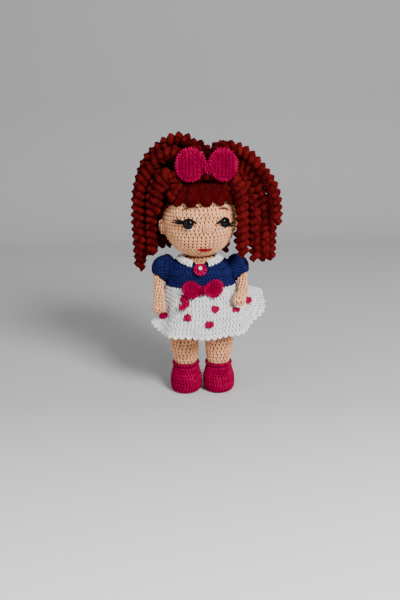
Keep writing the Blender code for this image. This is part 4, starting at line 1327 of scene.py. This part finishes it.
class DOLL_OT_dress(bpy.types.Operator):
    """Works the dress: the navy top, its sleeves and the white skirt with its spots and hem"""

    bl_idname = "doll.dress"
    bl_label = "Dress"

    def execute(self, context):
        made = context.scene.doll_stitches
        cell, relief = (made.fine_width, made.fine_height), made.fine_relief
        self.top(cell, relief)
        self.sleeves(cell, relief)
        self.skirt((made.skirt_width, made.skirt_height), relief)
        return {"FINISHED"}

    def top(self, cell, relief):
        low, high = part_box("dress_yoke")
        middle = Vector((figure.x, figure.y, (low.z + high.z) / 2))
        yoke = round_axis(
            "dress_yoke",
            (figure.x, figure.y, low.z + 0.0003),
            (figure.x, figure.y, high.z - 0.0005),
        )
        shoulder_z = shoulders["left"].z

        def clear(place):
            neck = math.hypot(place.x - figure.x, place.y - figure.y + neckline_forward)
            level = math.hypot(place.y - figure.y, place.z - shoulder_z)
            beside = abs(place.x - figure.x) < armhole_x or level > armhole_radius
            return beside and neck > neckline_half_width + 0.0015

        stitches = rounds(yoke, cell, relief, clear)
        for side, sign in sides:
            z = shoulders[side].z
            seat = [Vector((figure.x + sign * x, figure.y, z)) for x in armhole_band]
            armhole = round_line("dress_yoke", seat)

            def band(a, t, armhole=armhole, sign=sign):
                return armhole(sign * a, t)

            stitches += rounds(
                band, cell, relief, lambda p: p.z > shoulder_z - armhole_low and clear(p)
            )
        for k in range(top_hem_stitches):
            start, a, end = (turn_of(k + share, top_hem_stitches) for share in (0, 0.5, 1))
            place, across, out = facing(yoke, a, 0.0)
            near = (yoke(end, 0.0) - yoke(start, 0.0)).length
            place = Vector((place.x, place.y, yoke_hem_z - 0.0004)) - out * 0.0006
            stitches.append(Stitch(place, across, out, (near, 0.0028, relief)))
        over("dress_yoke", stitches, "navy", relief, name="dress_top", centre=middle)

    def sleeves(self, cell, relief):
        for side, sign in sides:
            shoulder = shoulders[side]
            centre = Vector((figure.x + sign * sleeve_x, shoulder.y, shoulder.z))
            turn = Vector((0, 0, 1)).rotation_difference(Vector((sign, 0, 0))).to_matrix()
            cap = ball(centre, sleeve_radius, math.radians(-3), math.radians(84), turn)
            lean = math.radians(arm_angles[side][0])
            down = Vector((0, -math.sin(lean), -math.cos(lean)))

            def clear(place, shoulder=shoulder, down=down):
                away = place - shoulder
                along = away.dot(down)
                return along < 0 or (away - down * along).length > sleeve_arm_gap

            stitches = rounds(cap, cell, relief, clear)
            over(
                f"{side}_sleeve", stitches, "navy", relief, f"{side}_arm_piece", centre=centre
            )

    def skirt(self, cell, relief):
        columns, rows = skirt_columns, 16
        bm = bmesh.new()
        outer, inner = (
            [
                [
                    bm.verts.new(place - out * inset)
                    for place, _, out in (
                        facing(skirt_surface, turn_of(k, columns), i / rows) for k in range(columns)
                    )
                ]
                for i in range(rows + 1)
            ]
            for inset in (skin_inset_share * relief, skirt_thickness)
        )
        for corners in ring_faces([*outer, *inner[::-1], outer[0]]):
            bm.faces.new(corners)
        # The skirt's cloth wears the white yarn's painted shade of the gaps between stitches.
        cloth = crochet("skirt_cloth", bm, [], "white", node="dress_skirt")
        stitches = rounds(skirt_surface, cell, relief, first=1)
        worked = crochet("skirt_stitches", None, stitches, "white", shares=tall_shares)
        hem = crochet("skirt_hem", None, self.hem_loops(relief), "white", shares=picot_shares)
        spots = crochet("skirt_spots", None, self.spots(relief), "magenta", shares=blob_shares)
        area = skirt_area()

    def hem_loops(self, relief):
        turns = [turn_of(k, skirt_columns) for k in range(skirt_columns + 1)]
        lengths = distances([skirt_surface(a, 0.0) for a in turns])
        count = round(lengths[-1] / hem_scallop)
        found = []
        for k in range(count):
            a = float(np.interp(lengths[-1] * k / count, lengths, turns))
            place, across, out = facing(skirt_surface, a, 0.0)
            place = place - out * 0.0010 + out.cross(across) * 0.0010
            stretch = (lengths[-1] / count, hem_loop_height, relief)
            found.append(Stitch(place, across, out, stretch))
        return found

    def spots(self, relief):
        pixels, sizes = [], []
        for number, (x, y) in enumerate(spot_pixels):
            for k, (dx, dy) in enumerate(spot_steps):
                lean = 0.35 * math.sin(2.1 * number + 1.3 * k)
                pixels.append((x + dx + lean, y + dy - lean))
                sizes.append((0.0032, 0.0060 - 0.0011 * abs(k - 1.5), relief))
        return skirt_dabs(pixels, sizes, Vector((1, 0, 0)))


class DOLL_OT_collar(bpy.types.Operator):
    """Works the collar, and the flower sewn at its opening"""

    bl_idname = "doll.collar"
    bl_label = "Collar and flower"

    def execute(self, context):
        solid = tree_of("collar")
        found = []
        for share, steps, tall in ((0.42, 34, 0.0046), (0.88, 30, 0.0024)):
            reach = neckline_half_width + 0.0003 + collar_width * share
            stretch = (reach * collar_turn / steps * 1.1, tall, 0.0028)
            for k in range(steps + 1):
                a = -math.pi / 2 + collar_opening + collar_turn * k / steps
                x, y = reach * math.cos(a), reach * math.sin(a)
                above = Vector((figure.x + x, figure.y - neckline_forward + y, 0.15))
                place, out, _, _ = solid.ray_cast(above, Vector((0, 0, -1)))
                if place is None or out.z < 0.2:
                    continue
                along = Vector((-math.sin(a), math.cos(a), 0))
                across = (along - out * along.dot(out)).normalized()
                found.append(Stitch(place - out * 0.0005, -across, out, stretch))
        over("collar", found, "white", 0.0008)

        low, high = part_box("collar_flower")
        middle = (low + high) / 2
        out = (sum(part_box("flower_bead"), Vector()) / 2 - middle).normalized()
        across = Vector((1, 0, 0))
        up = out.cross(across).normalized()
        petals = []
        for k in range(7):
            a = turn_of(k + 0.5, 7)
            way = across * math.cos(a) + up * math.sin(a)
            for reach, rise, size in (
                (0.0038, 0.0, (0.0046, 0.0034, 0.0030)),
                (0.0020, 0.0007, (0.0026, 0.0028, 0.0024)),
            ):
                place = middle + way * reach + out * rise
                petals.append(Stitch(place, -out.cross(way), out, size))
        over("collar_flower", petals, "magenta", 0.0012, name="flower_crochet", shares=edge_shares)
        return {"FINISHED"}


def bow_frame(node):
    """A frame at a bow piece's middle: Z out of its broad side, towards the front, Y up."""
    points = np.array([v.co[:] for v in nodes[node].data.vertices])
    middle = (points.max(axis=0) + points.min(axis=0)) / 2
    spread = np.linalg.svd(points - points.mean(axis=0), full_matrices=False)[2]
    out = Vector(spread[2])
    if out.y > 0:
        out = -out
    across = Vector((0, 0, 1)).cross(out).normalized()
    place = frame_of(across, out.cross(across), out, middle)
    local = [place.inverted() @ Vector(p) for p in points]
    return place, max(abs(p.x) for p in local), max(abs(p.y) for p in local)


def loop_shape(sign, draw, tilt, hollow, shrink):
    """Draws a loop in to its knot, tilts its far end up, and hollows its broad sides."""

    def shape(p, width, height):
        inner = max(0.0, -sign * p.x)
        far = width + sign * p.x
        beside = (p.x + 0.25 * sign * width) / (0.45 * width)
        dip = math.exp(-beside ** 2 - (2 * p.y / height) ** 2)
        depth = p.z - math.copysign(min(abs(p.z) * 0.8, hollow * dip), p.z)
        x = p.x - sign * (draw * inner + shrink * far)
        return Vector((x, p.y * (1 - shrink) + tilt * far, depth))

    return shape


def scaled_shape(wide, tall, deep):
    """Widens, shortens and thickens a knot about its middle."""
    return lambda p, width, height: Vector((p.x * wide, p.y * tall, p.z * deep))


def bow_piece(name, node, body, cell, relief, shape, pinch=0.0, edge=None):
    """A flat piece of a bow: upright columns front and back, and a ring of loops round it."""
    place, width, height = bow_frame(node)
    back = place.inverted()

    def shaped(point):
        return place @ shape(back @ point, width, height)

    def inside(x, y):
        return not edge or (x / (0.80 * width)) ** 2 + (y / (0.84 * height)) ** 2 < 1

    stitches = [
        stitch._replace(place=shaped(stitch.place))
        for view in (place, place @ Matrix.Rotation(math.pi, 4, "Y"))
        for stitch in front_of(node, view, width, height, cell, relief, inside)
    ]
    under = under_skin(node, relief)
    for vert in under.verts:
        vert.co = shaped(vert.co)
    # Painted shade: a loop's face stitches get a darker tone range than its edge ring, for the
    # shade of its hollowed middle.
    tones = {"darkest": -0.6, "palest": 0.1} if edge else {}
    crochet(name, under, stitches, "magenta", body, node, {**tall_shares, **tones})
    if not edge:
        return
    outline = []
    for k in range(40):
        a = turn_of(k, 40)
        narrow = 1 - abs(pinch) * max(0.0, math.copysign(1, pinch) * math.cos(a)) ** 2
        x, y = 0.86 * width * math.cos(a), 0.86 * height * narrow * math.sin(a)
        outline.append(shape(Vector((x, y, 0)), width, height)[:2])
    ring = edge_of(place, outline, edge, relief * 1.25)
    crochet(f"{name}_edge", None, ring, "magenta", body, shares=edge_shares)


class DOLL_OT_bows(bpy.types.Operator):
    """Works the big bow in the hair and the small one at the waist"""

    bl_idname = "doll.bows"
    bl_label = "Bows"

    def execute(self, context):
        for side, sign in sides:
            hair_loop = (0.04, -0.09, 0.0018, 0.05) if sign > 0 else (0.10, -0.02, 0.0018, 0.03)
            bow_piece(
                f"hair_bow_{side}",
                f"hair_bow_{side}_loop",
                "head_piece",
                (0.0030, 0.0034),
                0.0028,
                loop_shape(sign, *hair_loop),
                -0.30 * sign,
                (0.0021, 0.0036),
            )
            bow_piece(
                f"waist_bow_{side}",
                f"waist_bow_{side}_loop",
                "body",
                (0.0028, 0.0030),
                0.0022,
                loop_shape(sign, 0.38, 0.20 if sign > 0 else 0.11, 0.0010, 0.09),
                -0.55 * sign,
                (0.0019, 0.0024),
            )
        size = (0.0034, 0.0060, context.scene.doll_stitches.fine_relief)
        fold = skirt_dabs(fold_pixels, [size] * len(fold_pixels), Vector((1, 0, 0.6)))
        crochet("waist_bow_fold", None, fold, "magenta", shares=blob_shares)
        for node, body, scales in (
            ("hair_bow_knot", "head_piece", (1.7, 0.72, 1.3)),
            ("waist_bow_knot", "body", (1.9, 0.85, 1.0)),
            ("waist_bow_tail", "body", (1.0, 1.0, 1.0)),
        ):
            shape = scaled_shape(*scales)
            bow_piece(f"{node}_crochet", node, body, (0.0026, 0.0030), 0.0022, shape)
        return {"FINISHED"}


class DOLL_OT_head(bpy.types.Operator):
    """Works the head, the ears and the nose, and the wig's cap under the hair"""

    bl_idname = "doll.head"
    bl_label = "Head"

    def execute(self, context):
        made = context.scene.doll_stitches
        turn = head_frame.to_3x3()
        head = ball(head_centre, head_radius, math.radians(-80), math.radians(80), turn)
        crown = turn @ Vector((0, math.sin(cap_tilt), math.cos(cap_tilt)))

        def bare(place):
            return crown.angle(place - head_centre) > hairline

        stitches = rounds(head, (made.body_width, made.body_height), made.body_relief, bare)
        piece = over("head", stitches, "skin", made.body_relief, "head_piece")

        cap_turn = turn @ Matrix.Rotation(-cap_tilt, 3, "X")
        cap_low, cap_high = math.pi / 2 - cap_polar, math.radians(86)
        cap = ball(head_centre, cap_outer_radius, cap_low, cap_high, cap_turn)
        relief = made.fine_relief
        stitches = rounds(cap, cap_cell, relief)
        over("wig_cap", stitches, "hair", relief, "head_piece", "cap_crochet", head_centre)

        for side, sign in sides:
            place = on_head(sign * math.radians(90), ear_elevation)
            self.bump(f"{side}_ear", place, 0.0043, 0.0062)
        self.bump("nose", on_head(0, nose_elevation), 0.0039, 0.0026)
        return {"FINISHED"}

    def bump(self, node, place, half_width, half_height):
        """An ear or the nose: columns of stitches inside a ring of them."""
        place = place @ Matrix.Translation((0, 0, head_radius))
        stitches = front_of(node, place, half_width, half_height, (0.0030, 0.0029), 0.0024)
        outline = [
            (0.80 * half_width * math.cos(a), 0.80 * half_height * math.sin(a))
            for a in (turn_of(k, 24) for k in range(24))
        ]
        rim = place @ Matrix.Translation((0, 0, 0.0002))
        stitches += edge_of(rim, outline, (0.0030, 0.0030), 0.0026)
        over(node, stitches, "skin", 0.0012, "head_piece")


class DOLL_OT_face(bpy.types.Operator):
    """Sews on the eyes, and embroiders the lids, lashes, brows and mouth"""

    bl_idname = "doll.face"
    bl_label = "Face"

    def execute(self, context):
        for side, sign in sides:
            self.eye(side, sign)
        for name, (yarn, slot, proud, paths) in embroidery.items():
            sewn = []
            for pixels, radii in paths:
                points = flowing([on_face(x, y, proud) for x, y in pixels], 5)
                sewn.append((points, [radius / 10000 for radius in radii]))
            thread(name, sewn, yarn, slot)
        return {"FINISHED"}

    def eye(self, side, sign):
        """A domed safety eye on its stem."""
        place = on_head(sign * eye_azimuth, eye_elevation)
        back = head_radius + 0.0003
        foot = back - eye_stem_length
        outline = [(0.0, foot), (eye_stem_radius, foot), (eye_stem_radius, back)]
        outline += [(eye_radius, back), (eye_radius, back + eye_rim)]
        for k in range(1, 9):
            q = math.pi / 2 * k / 9
            outline.append((eye_radius * math.cos(q), back + eye_rim + eye_dome * math.sin(q)))
        outline.append((0.0, back + eye_rim + eye_dome))
        bm = bmesh.new()
        rings = []
        for radius, z in outline:
            count = 48 if radius else 1
            turns = [turn_of(k, count) for k in range(count)]
            rings.append([
                bm.verts.new(place @ Vector((radius * math.cos(a), radius * math.sin(a), z)))
                for a in turns
            ])
        for corners in ring_faces(rings):
            bm.faces.new(corners)
        bmesh.ops.recalc_face_normals(bm, faces=bm.faces)
        name = f"{side}_eye_dome"
        mesh = mesh_of(name, bm, materials["eye"])
        settled(name, mesh, "head_piece", "eye_plastic", f"{side}_eye")


def fringe_point(azimuth, t):
    """A point on the fringe's outside: t runs from its free edge up to its root."""
    tongue = 2 * fringe_half_angle / fringe_tongues
    place = (azimuth + fringe_half_angle) / tongue
    centre = tongue * (math.floor(place) + 0.5) - fringe_half_angle
    azimuth = centre + (azimuth - centre) * (1 - 0.34 * (1 - t) ** 3)
    off_middle = min(1.0, abs(2 * (place - math.floor(place)) - 1))
    round_share = max(0.0, 1 - off_middle ** 2) ** 0.7
    low = fringe_notch_elevation - (fringe_notch_elevation - fringe_tip_elevation) * round_share
    elevation = low + (fringe_top_elevation - low) * t
    edge = min(1.0, 0.35 + 3 * t) * min(1.0, 0.35 + 3 * (1 - t))
    across = math.cos(0.5 * math.pi * azimuth / fringe_half_angle)
    lift = 0.0006 + 0.0022 * round_share
    radius = cap_outer_radius + lift * edge + 0.0044 * across * math.sin(math.pi * t) ** 2 * t
    return head_frame @ (face_way(azimuth, elevation) * radius)


def lock_line(side, shares):
    """A lock's middle line: up from its root on the cap, over an arch, then straight down."""
    out, back, fall, reach, rise, drop, crest_share = shares
    up = math.sqrt(max(0.0, 1 - out ** 2 - back ** 2))
    root = Vector((side * out, back, up)) * (cap_outer_radius + 0.0003)
    angle = math.radians(fall)
    hang = Vector((side * math.cos(angle), math.sin(angle), 0)) * bunch_reach * reach
    level = Vector((root.x, root.y, 0))
    across = hang - level
    crest_z = bunch_rise * rise
    crest = level + across * crest_share + Vector((0, 0, crest_z))
    shoulder = hang + Vector((0, 0, bunch_shoulder_share * crest_z))
    tip = hang - Vector((0, 0, bunch_drop * drop))
    arch = left_arch_round_share if side > 0 else right_arch_round_share
    climb = (crest_z - root.z) * right_arch_round_share
    before_crest = crest - across * crest_share * right_arch_round_share
    after_crest = crest + across * (1 - crest_share) * arch
    over_shoulder = shoulder + Vector((0, 0, crest_z - shoulder.z)) * arch
    line = interpolate_bezier(root, root + root.normalized() * climb, before_crest, crest, 12)
    line += interpolate_bezier(crest, after_crest, over_shoulder, shoulder, 14)[1:]
    if tip.z < shoulder.z:
        line.append(tip)
    return [head_frame @ p for p in line]


def lock(name, points, side, node=None, slim=1.0):
    """A corkscrew lock: a dark core with one groove, in the hair's painted gap shade, and stitches
    wound along its ridge.
    """
    hair = bpy.context.scene.doll_hair
    line = Line(points)
    ridge, groove = hair.ridge_radius * slim, hair.groove_radius * slim

    def growth(distance):
        grow = min(1.0, 0.35 + 0.65 * distance / hair.taper)
        return grow * min(1.0, 0.78 + 0.22 * (line.length - distance) / hair.pitch)

    def wound(distance, radius, phase=0.0):
        point, normal, across = line.at(distance)
        a = side * 2 * math.pi * distance / hair.pitch + phase
        out = normal * math.cos(a) + across * math.sin(a)
        return point + out * radius * growth(distance), out

    turns = line.length / hair.pitch
    count = int(turns * core_steps)
    bm = bmesh.new()
    ridges, grooves = [], []
    for k in range(count):
        distance = line.length * k / count
        close = min(1.0, 0.30 + (line.length - distance) / (0.55 * hair.pitch))
        ridges.append(bm.verts.new(wound(distance, 0.8 * close * ridge)[0]))
        grooves.append(bm.verts.new(wound(distance, 0.8 * close * groove, math.pi)[0]))
    for k in range(count - 1):
        bm.faces.new((ridges[k], ridges[k + 1], grooves[k + 1], grooves[k]))
    for k in range(count - 1 - core_steps):
        later = k + core_steps
        bm.faces.new((grooves[k], grooves[k + 1], ridges[later + 1], ridges[later]))
    root = bm.verts.new(line.at(0)[0])
    tip = bm.verts.new(line.at(line.length)[0])
    first = [*ridges[: core_steps + 1], grooves[0]]
    last = [*grooves[-core_steps - 1 :], ridges[-1]]
    for loop, end in ((first, root), (last, tip)):
        for i, vert in enumerate(loop):
            bm.faces.new((vert, loop[(i + 1) % len(loop)], end))

    per_turn = max(6, round(math.hypot(2 * math.pi * 1.15 * ridge, hair.pitch) / hair.stitch_width))
    step = 0.02 * hair.pitch
    stitches = []
    for k in range(int((turns - 0.1) * per_turn)):
        distance = hair.pitch * (k + 0.5) / per_turn
        close = min(1.0, 0.50 + (line.length - distance) / (0.6 * hair.pitch))
        place, out = wound(distance, 0.74 * close * ridge)
        along = wound(distance + step, 0.74 * ridge)[0] - wound(distance - step, 0.74 * ridge)[0]
        size = growth(distance)
        uneven = 1 + 0.16 * math.sin(12.9898 * k + line.length * 4000)
        relief = 0.0040 * slim * (0.4 + 0.6 * size) * (uneven + 0.20 * (-1) ** k)
        stretch = (1.15 * hair.stitch_width * size * slim, 0.74 * hair.pitch * uneven, relief)
        stitches.append(Stitch(place, along.normalized(), out, stretch))
    # Painted highlight: locks whose side is +1, mostly on the doll's left where the key light
    # falls, get a lighter tone; the sine term varies the tone from lock to lock.
    tone = 0.22 + 0.16 * side + 0.16 * math.sin(line.length * 3000)
    shares = {**ridge_shares, "darkest": tone - 0.50, "palest": tone + 1.20}
    crochet(name, bm, stitches, "hair", "head_piece", node, shares)


class DOLL_OT_hair(bpy.types.Operator):
    """Winds the corkscrew locks of both bunches, and works the fringe"""

    bl_idname = "doll.hair"
    bl_label = "Hair"

    def execute(self, context):
        for side, sign, table in (("right", -1, right_lock_shares), ("left", 1, left_lock_shares)):
            for number, shares in enumerate(table, 1):
                points = lock_line(sign, shares)
                lock(f"{side}_curl_{number}", points, sign, f"{side}_lock_{number}")
        for number, (side, slim, points) in enumerate(filler_curls, 1):
            points = flowing([[c / 1000 for c in p] for p in points], 6)
            lock(f"filler_curl_{number}", [head_frame @ p for p in points], side, slim=slim)
        self.fringe(context.scene.doll_stitches.fine_relief)
        return {"FINISHED"}

    def fringe(self, relief):
        columns, rows = fringe_columns, fringe_rows
        beside = fringe_half_angle / columns
        found = []
        for k in range(columns):
            azimuth = fringe_half_angle * (2 * (k + 0.5) / columns - 1)
            for row in range(rows):
                t = (row + 0.35) / rows
                across = fringe_point(azimuth + beside, t) - fringe_point(azimuth - beside, t)
                low, high = t - 0.3 / rows, t + 0.5 / rows
                along = fringe_point(azimuth, high) - fringe_point(azimuth, low)
                out = across.cross(along).normalized()
                place = fringe_point(azimuth, t) - out * 0.0006
                stretch = (1.1 * across.length, 1.45 * along.length, relief)
                found.append(Stitch(place, across.normalized(), out, stretch))
        shares = {**tall_shares, "darkest": -0.5, "palest": 0.5}
        over("fringe", found, "hair", relief, "head_piece", centre=head_centre, shares=shares)


class DOLL_OT_fittings(bpy.types.Operator):
    """Gives the inner fittings and the bead their finishes"""

    bl_idname = "doll.fittings"
    bl_label = "Fittings"

    def execute(self, context):
        finishes = {
            "neck_dowel": "wood",
            "arm_joint_cord": "cord",
            "left_insole": "board",
            "right_insole": "board",
            "left_eye_washer": "washer",
            "right_eye_washer": "washer",
            "flower_bead": "pearl",
        }
        for node, name in finishes.items():
            mesh = nodes[node].data
            mesh.materials.clear()
            mesh.materials.append(materials[name])
        return {"FINISHED"}


class DOLL_OT_stage(bpy.types.Operator):
    """Sets out the floor, the lights and the photograph's camera"""

    bl_idname = "doll.stage"
    bl_label = "Stage"

    def execute(self, context):
        scene = context.scene
        settings = scene.doll_stage
        camera = link(bpy.data.objects.new("photo_camera", bpy.data.cameras.new("photo_camera")))
        camera.matrix_world = photo_camera()
        camera.data.sensor_width = sensor_width
        camera.data.lens = sensor_width * (photo_distance / photo_scale) / photo_height
        camera.data.clip_start = 0.01
        scene.camera = camera

        bm = bmesh.new()
        bend, half, reach = 0.35, 2.2, 1.0
        profile = [(-2.5, 0.0), (reach - bend, 0.0)]
        for k in range(1, 13):
            a = math.pi / 2 * k / 12
            profile.append((reach - bend + bend * math.sin(a), bend - bend * math.cos(a)))
        profile.append((reach, 2.5))
        rows = [[bm.verts.new((x, y, z)) for x in (-half, half)] for y, z in profile]
        for near, far in zip(rows, rows[1:]):
            bm.faces.new((near[0], near[1], far[1], far[0]))
        mesh = mesh_of("stage_sweep", bm, stage_material("stage_paper_painted_light", tuple(settings.floor)))
        link(bpy.data.objects.new("stage_sweep", mesh))

        for name, place, size, power in (
            ("key_light", Vector((0.55, -0.86, 0.74)), 0.42, settings.key_power),
            ("fill_light", Vector((-0.9, -0.7, 0.45)), 0.9, settings.fill_power),
        ):
            light = bpy.data.lights.new(name, "AREA")
            light.energy = power
            light.size = size
            lamp = link(bpy.data.objects.new(name, light))
            aim = (Vector((0, 0, 0.11)) - place).to_track_quat("-Z", "Y")
            lamp.matrix_world = Matrix.Translation(place) @ aim.to_matrix().to_4x4()

        world = bpy.data.worlds.new("room")
        world.use_nodes = True
        background = world.node_tree.nodes["Background"]
        background.inputs["Color"].default_value = (1, 1, 1, 1)
        background.inputs["Strength"].default_value = settings.air
        scene.world = world
        return {"FINISHED"}


class DOLL_PT_panel(bpy.types.Panel):
    bl_idname = "DOLL_PT_panel"
    bl_label = "Crocheted Doll"
    bl_space_type = "VIEW_3D"
    bl_region_type = "UI"
    bl_category = "Doll"

    def draw(self, context):
        for name in groups:
            group = getattr(context.scene, name)
            box = self.layout.box()
            for field in group.__annotations__:
                box.prop(group, field)
        for operator in operators:
            self.layout.operator(operator.bl_idname)


groups = {
    "doll_yarns": DollYarns,
    "doll_stitches": DollStitches,
    "doll_hair": DollHair,
    "doll_stage": DollStage,
}
operators = (
    DOLL_OT_stage,
    DOLL_OT_body,
    DOLL_OT_arms,
    DOLL_OT_boots,
    DOLL_OT_dress,
    DOLL_OT_collar,
    DOLL_OT_bows,
    DOLL_OT_head,
    DOLL_OT_face,
    DOLL_OT_hair,
    DOLL_OT_fittings,
)


def register():
    for kind in (*groups.values(), *operators, DOLL_PT_panel):
        bpy.utils.register_class(kind)
    for name, kind in groups.items():
        setattr(bpy.types.Scene, name, PointerProperty(type=kind))


def unregister():
    for name in groups:
        delattr(bpy.types.Scene, name)
    for kind in reversed((*groups.values(), *operators, DOLL_PT_panel)):
        bpy.utils.unregister_class(kind)


def main():
    register()
    make_materials()
    stitchwork.extend(stitch_tree())
    for operator in operators:
        family, name = operator.bl_idname.split(".")
        getattr(getattr(bpy.ops, family), name)()


if __name__ == "__main__":
    main()
